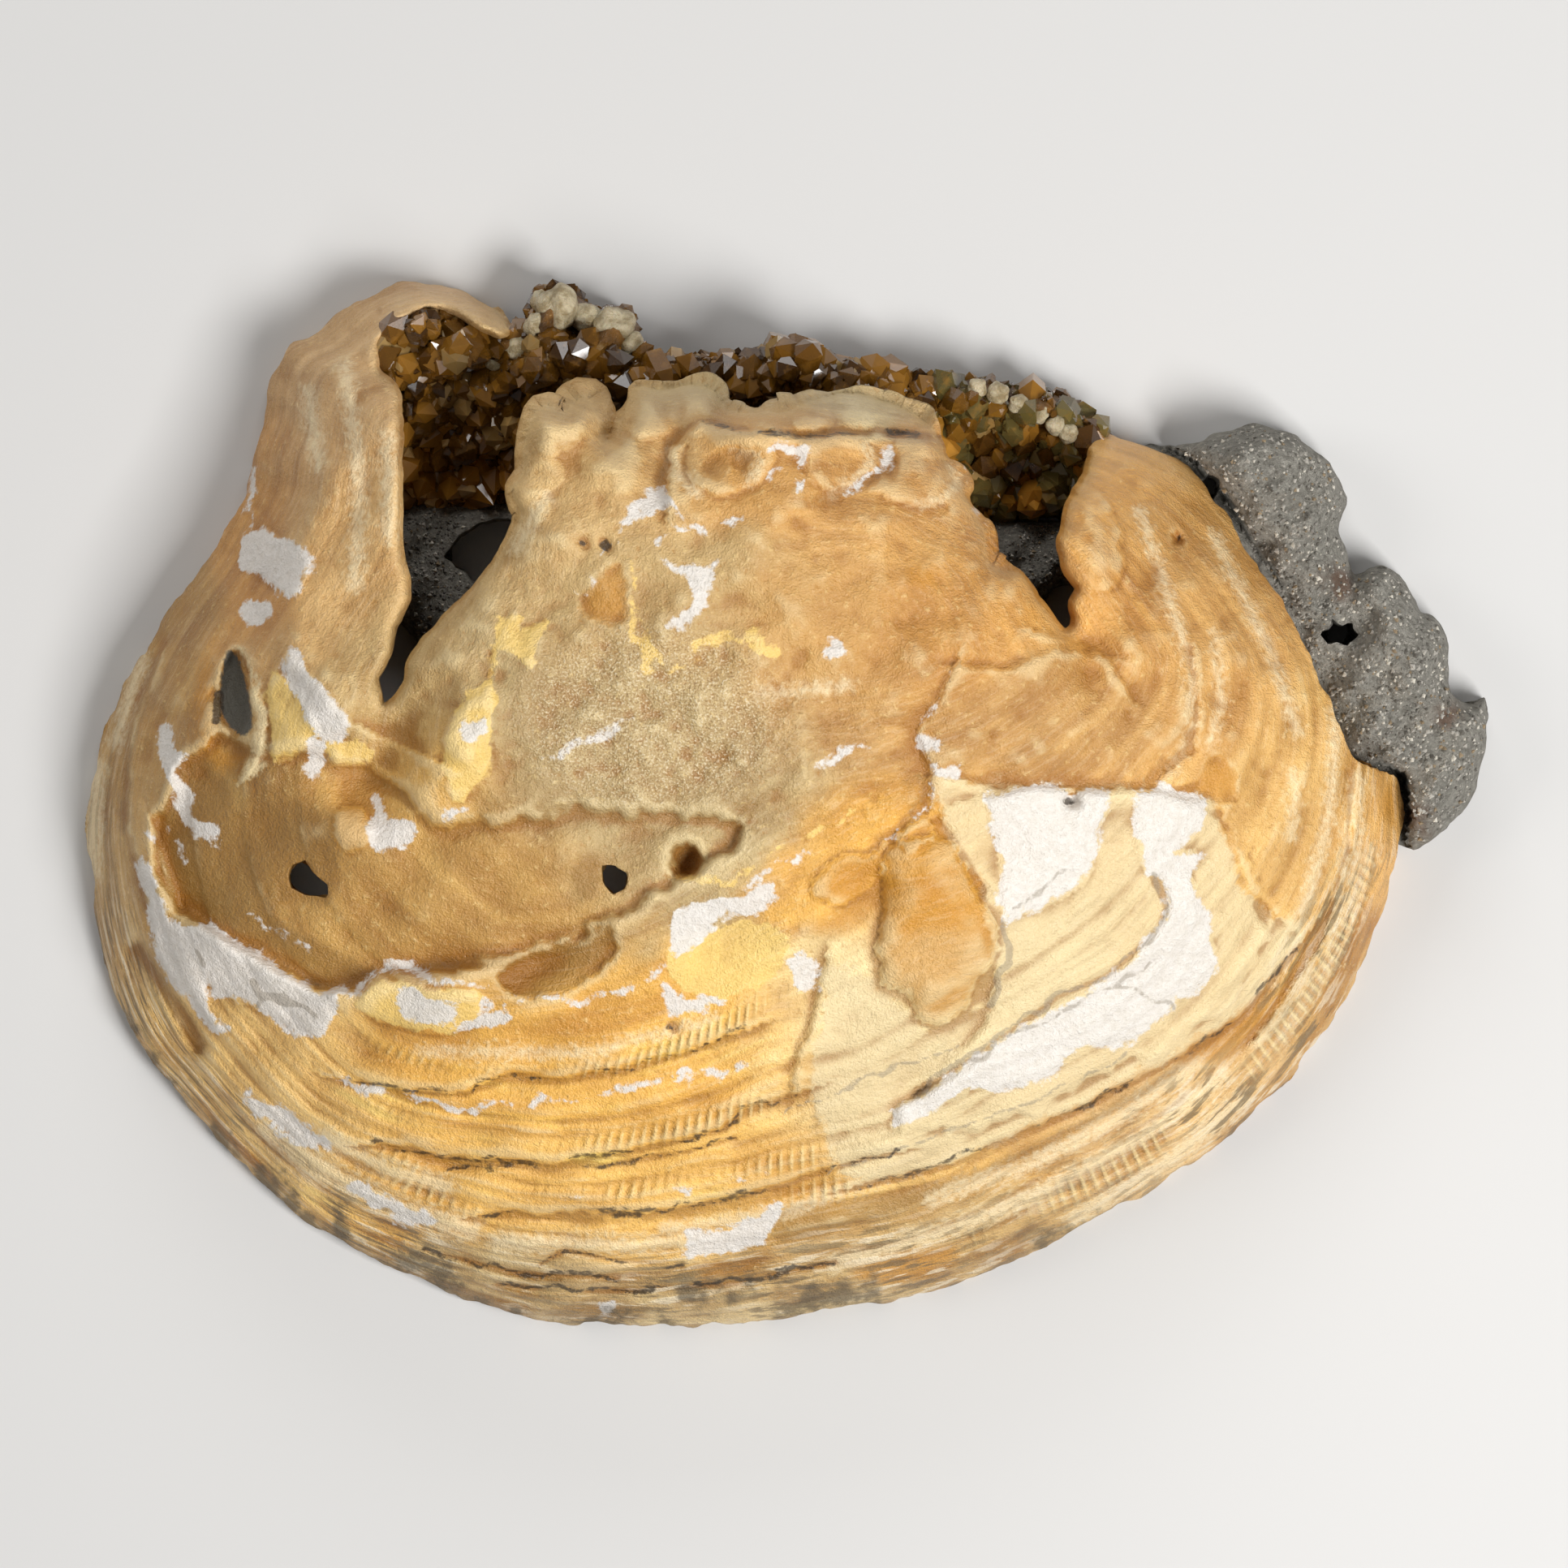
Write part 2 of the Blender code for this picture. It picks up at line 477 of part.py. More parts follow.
def make_crust(home):
    crust = height_block("crystal_crust", CRUST, crust_face, 0.6, 2.0, 0, 0, home)
    rng = np.random.default_rng(11)
    placed = []
    for x, y in zip(rng.uniform(-33, 26, 2500), rng.uniform(24.5, 39, 2500)):
        spot = (np.array([x]), np.array([y]))
        clearance = 2.6 if x < -22 and y > 36 else 1.6
        if edge_distance(*spot, CRUST)[0] < 1.1 or edge_distance(*spot, GAP)[0] < clearance:
            continue
        if any(math.hypot(x - a, y - b) < CRYSTAL_WIDTH * 0.8 for a, b in placed):
            continue
        placed.append((x, y))
        around = crust_face(np.array([x - 1, x + 1, x - 1, x + 1]), np.array([y - 1, y - 1, y + 1, y + 1]))
        level = float(0.5 * around.min() + 0.5 * crust_face(*spot)[0])
        lean = Vector((rng.normal(0, 0.32), rng.normal(-0.35, 0.3), 1)).normalized()
        width = CRYSTAL_WIDTH * rng.uniform(0.8, 1.3)
        bm = bmesh.new()
        length = CRYSTAL_ROOT + width * rng.uniform(0.6, 1.0)
        crystal(bm, Vector((x, y, level)) * UNIT, lean, width * UNIT, length * UNIT)
        combine(crust, new_object("crystal", finish_mesh(bm, "crystal"), CUTTERS), "UNION")
    for index, (x, y, z, radius) in enumerate(((-19.0, 41.0, 6.4, 2.0), (-14.2, 39.4, 6.0, 2.0), (-21.3, 38.9, 6.6, 1.3))):
        lump = blob("pale_lump_%d" % index, (x, y, z), (radius, radius, radius * 1.1), 30 * index, 2, CUTTERS)
        combine(crust, lump, "UNION")
    clean(crust)
    return crust


for leftover in list(bpy.data.objects):
    bpy.data.objects.remove(leftover, do_unlink=True)
OBJECT = bpy.data.collections.new("fossil_clam")
CUTTERS = bpy.data.collections.new("cutters")
bpy.context.scene.collection.children.link(OBJECT)
bpy.context.scene.collection.children.link(CUTTERS)

shell_valve = make_shell(OBJECT)
matrix_rock = make_rock(OBJECT)
crystal_crust = make_crust(OBJECT)
shell_valve.data.materials.append(material("honey_calcite_shell", (0.72, 0.5, 0.25), 0.4))
matrix_rock.data.materials.append(material("sandy_limestone", (0.22, 0.2, 0.18), 0.9))
crystal_crust.data.materials.append(material("brown_calcite_crystals", (0.22, 0.09, 0.02), 0.15))
for node in OBJECT.objects:
    node.data.transform(Matrix.Translation(Vector(CENTRE_SHIFT) * UNIT))
for cutter in CUTTERS.objects:
    cutter.hide_render = True
    cutter.display_type = "WIRE"
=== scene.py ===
"""Looks of the fossil clam: one valve in honey calcite, its crystal crust and its grey matrix rock.

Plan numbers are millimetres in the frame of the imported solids, before CENTRE_SHIFT is added.
"""
import math

import bpy
import numpy as np
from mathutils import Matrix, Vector


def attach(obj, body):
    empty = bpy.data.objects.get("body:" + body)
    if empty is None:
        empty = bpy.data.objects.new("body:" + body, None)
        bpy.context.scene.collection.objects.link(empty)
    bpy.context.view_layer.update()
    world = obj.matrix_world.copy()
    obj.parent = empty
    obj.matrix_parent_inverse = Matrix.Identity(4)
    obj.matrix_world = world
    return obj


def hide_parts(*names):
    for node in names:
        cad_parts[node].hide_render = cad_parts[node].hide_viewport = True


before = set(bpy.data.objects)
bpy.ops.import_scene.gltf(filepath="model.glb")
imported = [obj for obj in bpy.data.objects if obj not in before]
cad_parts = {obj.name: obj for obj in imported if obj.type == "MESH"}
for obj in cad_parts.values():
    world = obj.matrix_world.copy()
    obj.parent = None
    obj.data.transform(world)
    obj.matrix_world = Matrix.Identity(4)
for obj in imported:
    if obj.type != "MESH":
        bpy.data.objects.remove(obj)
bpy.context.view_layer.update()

# Driving dimensions, in millimetres, as the solids have them
SHELL_LENGTH = 110.0
DOME_HEIGHT = 31.0
RIM_THICKNESS = 0.9
WALL = 4.2
ROOF = 5.6
SEAT_GAP = 0.35
MATRIX_HEIGHT = 9.5
CRUST_HEIGHT = 9.0
MM = 0.001
UNIT = SHELL_LENGTH / 110.0 * MM
POLE = (-2.0, 12.0)
CENTRE_SHIFT = (0.0, 0.285, 0.0)
RIB_POLE = (0.0, 30.0)
RIB_COUNT = 421

# Closed outlines in plan: the worn margin and the margin as it grew, the dissolved gap by the hinge, the rock,
# the crust, the lowered zone, the raised plate, and holes that go through
MARGIN = [
    (-32, 43.5), (-36, 42), (-39, 39.5), (-42, 38), (-43.2, 35), (-43.5, 32.5), (-44.4, 30), (-44.8, 27),
    (-46.3, 24), (-48.5, 20), (-51.5, 16), (-54.5, 11), (-56.8, 6), (-58, 1), (-58.3, -3), (-57.8, -8),
    (-56.8, -13), (-55.3, -17.5), (-53.3, -21.3), (-51, -24), (-47.5, -28), (-44, -31.5), (-40.5, -34.5),
    (-36.5, -37.2), (-31.5, -39.5), (-26, -41.8), (-20, -43.3), (-14, -43.7), (-8, -43.7), (-2, -43.3),
    (4, -42.3), (11, -41.1), (17, -39), (22.5, -36.5), (28.6, -33.4), (33.5, -30.4), (38.3, -26.6), (42.7, -22),
    (46.2, -17), (49, -11), (50.8, -5.5), (51.3, -1), (50.9, 2), (48, 3.1), (46.5, 5), (45, 8.5), (43, 13),
    (41, 17), (38.5, 21), (36, 25), (33.5, 28), (30, 29.8), (27, 30.8), (25, 32), (20, 34.7), (12, 35.8),
    (1, 37.6), (-6, 37), (-12.5, 37.6), (-17, 38.6), (-22.5, 40.3), (-25, 41.7), (-27.5, 42.9), (-30, 43.3),
]
GROWN_MARGIN = [p for p in MARGIN if not (p[0] > 28 and p[1] > 0)]
GROWN_MARGIN[GROWN_MARGIN.index((51.3, -1)) + 1:GROWN_MARGIN.index((51.3, -1)) + 1] = [
    (51.4, 2.5), (50.9, 6), (49.5, 10), (47.2, 14), (44, 18), (40.4, 22), (36.4, 26), (32, 29)]
GAP = [
    (-21.8, 46), (-22.9, 39.2), (-25, 39.3), (-27.5, 40.8), (-29.5, 41.2), (-31.5, 40.2), (-33.6, 38.6),
    (-34, 36), (-32.4, 34.4), (-31.7, 31), (-32, 28.5), (-31.8, 25), (-31.8, 22), (-31.2, 17), (-32.3, 14.5),
    (-32.8, 12.3), (-33.6, 10.3), (-33.2, 8), (-31.5, 9), (-30.3, 12.6), (-28.5, 14.5), (-26.5, 16.5),
    (-24, 19.5), (-22.2, 22.5), (-21.8, 24), (-22.4, 25.7), (-21.5, 27), (-21.3, 30), (-20, 32.6),
    (-18.3, 31.9), (-16.7, 33.7), (-15.4, 32), (-14.7, 29.8), (-13.6, 31.5), (-12.6, 34.4), (-10.2, 33.9),
    (-8, 34.5), (-6, 33.9), (-4.8, 32.4), (-1, 32), (2, 33), (5, 33.9), (8, 33.2), (10.5, 32.3), (12.5, 30),
    (13.2, 28), (15, 24.5), (16.1, 22), (16.8, 19.6), (19, 18.7), (20.5, 16.7), (22.6, 14), (23.7, 14.6),
    (23.4, 16.5), (24, 17.8), (22.7, 19.6), (22.9, 23.4), (24.3, 26.2), (25.2, 28.6), (25.2, 31), (26, 46),
]
MATRIX = [
    (29, 29.3), (33, 29.7), (35, 30.3), (37.5, 31.2), (39.5, 31.4), (42, 30.6), (44.5, 28.9), (45.8, 27),
    (46.5, 24.7), (46, 22.6), (46.7, 20.5), (47.3, 18.8), (48.5, 19.4), (50, 19.4), (51.5, 18.2), (52.7, 16),
    (54, 15.2), (55, 13), (55, 10), (56, 8.6), (57.3, 8.3), (58, 8.6), (58.3, 5.5), (57.6, 2.6), (56.5, -0.3),
    (55, -1.8), (53.5, -3.3), (51.6, -3.7), (49.5, -1.5), (46, 3), (41, 9), (36, 14), (30, 17.2), (23, 18.2),
    (21.3, 16.6), (17, 13.5), (8, 11.5), (-10, 10.5), (-24, 11), (-29.8, 12.2), (-30.6, 13.4), (-32, 15),
    (-35, 16.8), (-37.2, 20), (-37, 23.4), (-35.5, 25.05), (-31, 25.05), (-19, 25.05), (-12, 24.8), (0, 24.2),
    (14, 23.5), (22.4, 23.5), (26.6, 24.6),
]
ROCK_HOLES = [
    [(-28.4, 20.5), (-27, 22.4), (-25.5, 23.3), (-23.5, 23.7), (-20.5, 23), (-20, 19.5), (-23, 16.8),
     (-25.8, 17.9), (-26.6, 19)],
    [(34.5, 25.6), (35.2, 25.1), (35.9, 25.7), (35.9, 26.7), (35.2, 27.2), (34.5, 26.7)],
    [(44.2, 14.1), (44.9, 14.5), (45.2, 15.3), (46, 14.8), (46.8, 15), (46.9, 14.3), (47.6, 13.9),
     (46.7, 13.5), (46.4, 13.1), (45.6, 13.4), (44.8, 13.2)],
]
CRUST = [
    (-35.6, 25.45), (-35.4, 31), (-35.2, 35), (-35.4, 37), (-34.2, 39), (-31.8, 40.5), (-29.3, 41.4),
    (-27.2, 41), (-25, 39.7), (-22.6, 39.5), (-21.6, 40.4), (-20.8, 42.2), (-19, 43), (-17.5, 42.2),
    (-15.8, 41), (-13.6, 41.3), (-12.4, 39.7), (-12.3, 37.9), (-10, 37.3), (-7, 37.2), (-3, 37.6), (-0.6, 38.3),
    (0.9, 38.5), (2.5, 37.5), (5, 36.5), (8, 36), (10.5, 35.2), (13, 35), (16, 35.5), (18.3, 34.8),
    (20.5, 34.2), (22.7, 33.9), (24.2, 32.9), (25.4, 31.9), (26.8, 30), (26.6, 27.3), (24.8, 25.1),
    (22.3, 23.9), (14, 23.9), (6, 26.5), (-6, 27.2), (-17, 26), (-20, 25.45),
]
LOWERED = [
    (-46.7, 5.8), (-50.2, 3.6), (-52.3, -3.5), (-50.3, -9), (-46, -11.5), (-42, -13.4), (-38, -15.6),
    (-35.3, -15.4), (-33.5, -13.8), (-27, -13.6), (-22.5, -12.2), (-18, -11), (-14.5, -9.5), (-10, -7),
    (-4, -4), (-3, -1.5), (-10, -1), (-17, 0), (-24, -1.5), (-29, -1.2), (-33, 2), (-38, 4.6), (-42, 4),
]
PLATE = [
    (12.5, 0), (17.5, 1), (25, 1.2), (32, 0.7), (36, -2), (38.5, -7), (39.3, -11), (36.5, -17), (30.5, -20.5),
    (25, -23), (18, -26.3), (9.5, -27), (9, -25), (14, -21), (17, -17), (17.5, -12), (16, -7), (13.5, -3),
]
SHELL_HOLES = [
    [(-41, -6), (-40.5, -5), (-39.5, -4.7), (-38.9, -5.7), (-37.7, -6.5), (-37.6, -7.7), (-39, -7.6), (-40.7, -7)],
    [(-15.1, -5), (-14, -5), (-13, -5.7), (-13, -7), (-14.2, -7.5), (-15, -6.5)],
]
# Lumps and hollows of the outer face: centre, half length, half width, turn in degrees, lift
FEATURES = [
    (-27.5, 6.5, 7.0, 3.2, 70, 1.5), (-33.0, 4.0, 7.5, 3.2, 50, -3.4), (-37.8, 9.5, 4.5, 2.2, -60, 1.2),
    (-26.5, 20.0, 11.0, 4.0, 50, -2.6), (-38.5, 27.0, 14.0, 2.6, 82, 1.3), (-36.5, -2.2, 3.0, 2.6, 0, 1.4),
    (-29.5, -16.0, 6.2, 2.2, 3, 0.9), (-12.0, 3.0, 11.0, 5.0, 20, -0.7), (-5.5, 28.0, 4.6, 3.2, 0, -0.9),
    (5.5, 27.5, 4.4, 3.0, 0, -0.9), (0.5, 30.5, 11.0, 1.9, 2, 1.0), (16.0, 12.0, 9.0, 5.0, -20, 0.8),
    (24.5, 12.0, 6.5, 2.4, -65, -1.9), (26.0, 21.5, 5.0, 2.6, 75, 1.2), (13.0, -10.5, 5.6, 7.2, 15, 1.1),
    (5.6, -6.0, 3.0, 2.0, 35, -0.8), (10.2, -2.6, 2.8, 1.8, 30, -0.6), (-5.0, -12.0, 5.0, 3.8, 25, -0.5),
    (30.5, 3.4, 5.0, 1.8, 10, -0.7), (32.5, 9.0, 5.0, 1.6, 85, 0.8), (-53.0, -15.5, 6.5, 1.5, -58, -1.1),
    (-20.0, -13.4, 4.0, 1.8, 20, -1.5), (-50.3, 2.0, 4.4, 1.1, 72, 0.9), (-40.0, 20.5, 7.0, 3.0, 70, 0.5),
]
# Where the last long pause of growth lies, as a share of the way to the margin, by turn in degrees
PAUSE_TURN = [-180, -160, -135, -112, -90, -60, -45, -30, -15, 0, 30, 90, 135, 180]
PAUSE_SHARE = [0.80, 0.80, 0.78, 0.67, 0.58, 0.55, 0.57, 0.60, 0.67, 0.76, 0.8, 0.8, 0.8, 0.80]
# Growth steps below it, as on the solid: share of the way on to the margin, drop
STEPS = [(0.06, 0.9), (0.30, 0.8), (0.52, 0.9), (0.74, 0.8)]

# Crisp markings, read one by one: filled outlines, and lines with a half width
CHALK_FILLS = [
    [(16.8, 0.9), (26, 0.9), (25.1, -3.4), (24.6, -6.3), (18.5, -9.5), (17.6, -9.5), (17.5, -6.3),
     (17.1, -2.6)],
    [(28.6, 0.9), (34.7, 0.3), (33.2, -2.6), (31.2, -4), (33.8, -4), (33.2, -6.3), (34.9, -11.2),
     (35.2, -13.5), (32.6, -15.8), (28.6, -19.3), (23.4, -20.4), (20.5, -23), (15.6, -23.6), (11.3, -25.6),
     (8.7, -27.1), (9.3, -24.5), (11.3, -23.6), (18.8, -18.4), (26.3, -14.7), (30.3, -10), (31.2, -8.3),
     (30.9, -6.3), (29.2, -5.4)],
    [(-44.9, 21.9), (-43.1, 23), (-41.4, 21.6), (-39.4, 20.1), (-39.7, 17.3), (-41.4, 17), (-43.1, 18.7),
     (-45.2, 19.6)], [(-41.2, 11.2), (-40.8, 12.6), (-39.1, 10.9), (-35.4, 6.3), (-38, 5.1), (-39.4, 6.9)],
    [(-52.1, 5.9), (-50.8, 5.9), (-50.6, 4.6), (-49.8, 4), (-49.8, 1.7), (-49.1, 0.8), (-48.8, -1.2),
     (-46.6, -2.1), (-46.6, -3.4), (-47.8, -2.8), (-49.5, -1.8), (-50.6, 0), (-51.2, 2), (-51.7, 3.7)],
    [(-53.8, -5), (-52.4, -5), (-51.5, -7), (-50.9, -9.3), (-49.5, -10.1), (-48.3, -9.6), (-46, -11),
     (-43.1, -12.2), (-41.4, -13.9), (-38.5, -15.3), (-36.2, -15.6), (-37.4, -16.8), (-37.4, -18.2),
     (-39.1, -19.1), (-42, -17.9), (-44.3, -16.8), (-46.6, -15.9), (-47.8, -15), (-47.2, -17.4),
     (-46.3, -19.1), (-47.8, -18.2), (-49.2, -15.9), (-51.2, -14.2), (-52.4, -12.4), (-52.4, -9.6), (-53, -7)],
    [(-31.9, -15.3), (-30.2, -15), (-28.7, -15.9), (-27.3, -16.8), (-27.3, -17.9), (-30.5, -17.8),
     (-31.6, -16.8)], [(-26.4, -18.2), (-24.7, -16.5), (-22.7, -17.1), (-23.5, -18.2)],
    [(-26.7, 7), (-24.7, 7), (-24.7, 5.4), (-26.4, 5.4)],
    [(-34.2, -0.3), (-33.3, 0.2), (-32.5, -0.9), (-30.7, -1.8), (-31, -3.5), (-33.3, -3.8)],
    [(-39.4, 4.9), (-38, 4.8), (-37.8, 2.6), (-39, 2.7)],
    [(-13.1, 22.9), (-11.9, 24.9), (-10.9, 26), (-10, 24.7), (-8.5, 23.6), (-11, 24.1)],
    [(3, 13.4), (4.2, 13.4), (4.5, 12.4), (3.4, 12)], [(-9.8, -15), (-9.2, -17.3), (-5, -16.1), (-8.2, -15.9)],
    [(-9.5, -9.8), (-6, -8), (-3.4, -7.1), (-1, -7), (-2, -8.6), (-5.5, -9.4), (-8.6, -12.6)],
    [(0.2, -12.8), (2.6, -12.4), (2.4, -15), (0.8, -15)], [(11, 5.8), (12.4, 5.6), (12, 4.6), (11, 4.6)],
    [(11.8, 3.2), (13.6, 3), (13, 2)],
    [(-8.6, -36.2), (-7.4, -35), (-4, -34.8), (-1.4, -33.2), (-0.2, -33.6), (-1, -35.2), (-3, -36.4),
     (-8, -37.3)], [(-45, 16.6), (-42.6, 16.8), (-42.4, 15.2), (-44.4, 14.6)],
    [(7.7, 29.3), (8.4, 29.2), (8.5, 28.1), (8, 27), (7, 26.3), (5.4, 25.7), (4.2, 25), (4.9, 25.8),
     (6.3, 26.5), (7.3, 27.2), (7.8, 28.1)],
    [(-1.8, 28.9), (-0.9, 29.2), (0.3, 29.2), (1, 28.8), (1.8, 28.9), (2.1, 28.6), (1.8, 27.7), (1.4, 27.5),
     (1.4, 28.1), (0.6, 28.2), (-0.4, 28.5)], [(0.4, 26.5), (1.7, 26.5), (1.1, 25.7)],
    [(-2.4, 22.9), (-2.1, 22.9), (-2.2, 22.5)],
    [(-9.9, 20.2), (-9, 19.7), (-8.3, 19.3), (-6.4, 19.3), (-5.4, 19.8), (-5.9, 18.4), (-6.5, 17.7),
     (-6.9, 16.4), (-7.6, 15.1), (-9.6, 14.2), (-9.2, 15.2), (-7.9, 16.6), (-7.9, 17.9), (-8.6, 18.7),
     (-9.8, 19.4)],
    [(-44.8, -24.2), (-42.2, -25), (-38.4, -27.4), (-38, -28.2), (-40.5, -27.6), (-43.6, -25.8)],
    [(-36.4, -31.2), (-33, -32.4), (-29.4, -34), (-29.2, -34.8), (-32, -34.4), (-35.6, -32.6)],
    [(-15.7, -41.9), (-14.6, -41.7), (-14.4, -42.4), (-15.3, -42.7)],
]
CHALK_LINES = [
    ([(-44.8, 27.5), (-44.6, 23)], 0.45), ([(-20, 3.9), (-16.4, 5.2), (-12.8, 6.8)], 0.4),
    ([(-35.7, -15.9), (-34.2, -14.2), (-31.9, -13.2), (-29.3, -13.9), (-27.6, -15), (-24.7, -14.8)], 0.3),
    ([(-6, -31), (-3.8, -30.7), (-1.7, -30)], 0.24), ([(-18.9, -32.6), (-16.4, -32.6)], 0.3),
    ([(-9.6, -31.8), (-8, -32.1)], 0.28), ([(-6.1, 23.3), (-3.7, 23)], 0.24), ([(-2, 26.4), (-0.6, 27)], 0.18),
    ([(-10.2, 21.5), (-9, 22.4), (-6.8, 22.6)], 0.32),
    ([(-13.4, 22.3), (-14.8, 21.2), (-16, 18.3), (-16.8, 16.3)], 0.22),
    ([(2.8, 3.3), (4.8, 4.2), (6.1, 4.9)], 0.4), ([(-28.1, -1.2), (-25.4, -0.8)], 0.45),
    ([(-52.7, -2.6), (-52.5, -3)], 0.5), ([(-51.1, -2.1), (-49.2, -4.8)], 0.25),
    ([(-44.4, -9), (-42, -10.6), (-39.1, -12.2)], 0.22), ([(-4, -6.9), (1.9, -3.9)], 0.35),
    ([(-23, -15.6), (-17, -16.2), (-11, -14.6), (-9.5, -13)], 0.3),
    ([(-36.9, -22.7), (-32.1, -23.9), (-28.4, -24.7), (-25.4, -24.9), (-18.8, -24.4), (-11, -23),
     (-3.7, -21.2)], 0.36),
    ([(13.5, 10.8), (12.3, 7.9), (10.6, 5.9), (11.7, 2.4), (11.7, -0.7), (8.3, -3)], 0.14),
    ([(14.2, 29.6), (14.9, 26), (16, 22.6)], 0.2),
]
PALE_STREAKS = [
    ([(29, 24), (31.4, 17), (33.2, 11), (33.2, 6), (31.4, 2.6)], 0.3),
    ([(35.2, 14), (35.6, 8), (34.6, 4.6)], 0.25), ([(-43, -27), (-38, -30.6), (-32, -33.6), (-26, -35.2)], 0.9),
    ([(-10, -35.2), (0, -33.6), (8, -30.6)], 0.5), ([(-38, -27.6), (-33, -30.2), (-28, -31.6)], 0.7),
    ([(-24, -36.2), (-12, -36.4), (-8, -36)], 0.6),
    ([(4, -38), (14, -35), (22, -31.8), (30, -27.2), (36, -22.4)], 0.7),
    ([(24, -34.4), (32, -29.6), (38, -24.4)], 0.7), ([(12, -32.6), (20, -29.8), (28, -25.6), (34, -21.4)], 0.5),
    ([(41.9, 2.4), (41.6, -2.6)], 0.35), ([(45.4, 8), (44.8, -1), (43, -8), (40, -14.6)], 0.4),
    ([(46.8, 2), (45.6, -8), (42, -15.5)], 0.3), ([(48.4, -4), (45.6, -12.4), (41, -19.4)], 0.4),
    ([(-57.4, 3), (-57.9, -6)], 0.7), ([(35.4, 22), (40, 12), (42, 6)], 0.35),
    ([(47.5, 2), (47.2, -5), (44.6, -13), (39, -20)], 0.25), ([(-36.4, 36), (-35, 26), (-35.4, 18)], 0.5),
    ([(-32.8, 30), (-32.6, 22)], 0.5), ([(-39.6, 34), (-38.6, 28)], 0.5), ([(-53.6, 12), (-55.8, 5)], 0.5),
    ([(-30, -20.4), (-16, -20.4), (-6, -17.6)], 0.35),
    ([(6.5, 29.1), (7.1, 28.1), (6.3, 27), (4.9, 26), (3.7, 25)], 0.3),
    ([(13.6, 27.4), (13.9, 26), (13, 24.9), (10.6, 24.3)], 0.2),
    ([(-9.4, 28.6), (-9.2, 27), (-8, 26.4), (-7.5, 25.4)], 0.4),
    ([(-4.2, 28.6), (-2.6, 28.3), (-2.2, 27.2), (-3, 26.4)], 0.25), ([(-22, 21), (-19.6, 25)], 0.5),
    ([(-2, 9), (5, 9.6)], 0.3),
]
CREAM_FILLS = [
    [(12.2, 2.4), (16.8, 1.8), (26, 1.4), (34.9, 0.6), (36, -2), (38.5, -8), (42.2, -10.5), (41.5, -13),
     (39, -16), (37.5, -17), (32, -20.8), (25.1, -24.4), (19.1, -27), (13.3, -29.5), (6.1, -31.2),
     (2.6, -27.2), (2.3, -22.7), (3, -20), (2.5, -16.7), (3.4, -12.8), (7.3, -14.9), (9.9, -17), (12.4, -18.6),
     (15.2, -17), (17.6, -12), (16.4, -7.7), (14, -3)],
    [(-45.5, 12.9), (-43.7, 9.6), (-42.4, 7.5), (-43, 4), (-44.4, 1.8), (-45, 2.4), (-43.9, 5.2), (-44.1, 8)],
]
YELLOW_FILLS = [
    [(-27.9, 6), (-27.3, 7.5), (-26.1, 8.6), (-24.4, 10), (-23.5, 14.1), (-22.1, 16), (-21.8, 14.9),
     (-22.1, 14.1), (-19.2, 15.2), (-19.5, 13.8), (-20.7, 11.2), (-21.5, 11.5), (-22.7, 12.1), (-23.5, 11.5),
     (-23.8, 6.3), (-24, 3.4), (-25, 1.7), (-26.4, 0), (-27.6, 0.2), (-27.7, 2.3), (-28.2, 3.7)],
    [(-42.6, 10), (-40.8, 10.6), (-38.5, 6.6), (-38.2, 5.1), (-42, 3.4), (-42.3, 5.7)],
    [(-35.2, -16), (-33.6, -14.7), (-31, -14.4), (-28, -15.4), (-25.4, -15.4), (-25, -17.6), (-28, -18.8),
     (-32, -18.4), (-34.8, -17.3)],
    [(-9.5, -12), (-7, -10), (-3, -9.4), (0, -10.4), (-0.6, -13.4), (-4, -15.8), (-8.4, -15.2)],
    [(-37.7, 5.4), (-34.2, 5.2), (-34, 3.4), (-37.2, 3.2)],
]
YELLOW_LINES = [
    ([(-7, 12.8), (-4.7, 13.7), (-3, 14), (-1.8, 12.5), (-1, 12.5)], 0.55),
    ([(-12.9, 19.4), (-12.3, 16.6), (-12.5, 13.5)], 0.25), ([(-12.5, 13.7), (-11.3, 12), (-11, 11.1)], 0.7),
    ([(-9.3, 10.8), (-6.7, 11.7)], 0.3), ([(-10, -6), (-4.7, -6.2), (3.9, -1.6), (8.3, 1)], 0.25),
]
AMBER_FILLS = [
    [(7.8, -4.9), (9.3, -2.8), (13.3, -2.8), (15, -5.4), (15.9, -7.7), (17.2, -9.5), (17.1, -12.4),
     (15.6, -14.7), (14.5, -17), (12.4, -18), (10.7, -17.5), (9.9, -15.5), (7.8, -14.7), (7.3, -11.2),
     (7.8, -8.9)], [(29.5, 0.9), (33.2, 1.8), (34.9, 4.1), (36.7, 2.9), (37, 0.6), (35.5, 0)],
    [(-37.2, -1.4), (-36, -0.2), (-34.4, -0.4), (-33.8, -2.2), (-34.8, -3.8), (-36.6, -3.6)],
    [(32.1, -20.7), (34.9, -17.5), (37.8, -16.7), (40.1, -16.4), (42.4, -13.5), (41.9, -15.5), (37.8, -19.9),
     (34.9, -21.6), (32.6, -21.6)], [(5, -38.6), (9, -37), (14, -36.6), (13.6, -38.4), (8, -40.2)],
    [(-17, 15.6), (-15, 19), (-13.2, 19.4), (-13.2, 14.6)],
    [(-48.8, 11.4), (-47.2, 11.8), (-47.4, 7), (-46.4, 4.6), (-44.6, 4), (-46.4, 2.4), (-48.6, 5)],
    [(9.6, 18.9), (11, 19.4), (12.4, 18.6), (12, 17.4), (10.4, 17.6)],
    [(2.2, -7.4), (5, -8.2), (8, -5.6), (7, -4), (3.6, -4.6)],
    [(49.8, 1.6), (50.8, 1.4), (50.4, -1.8), (49.2, -1)],
]
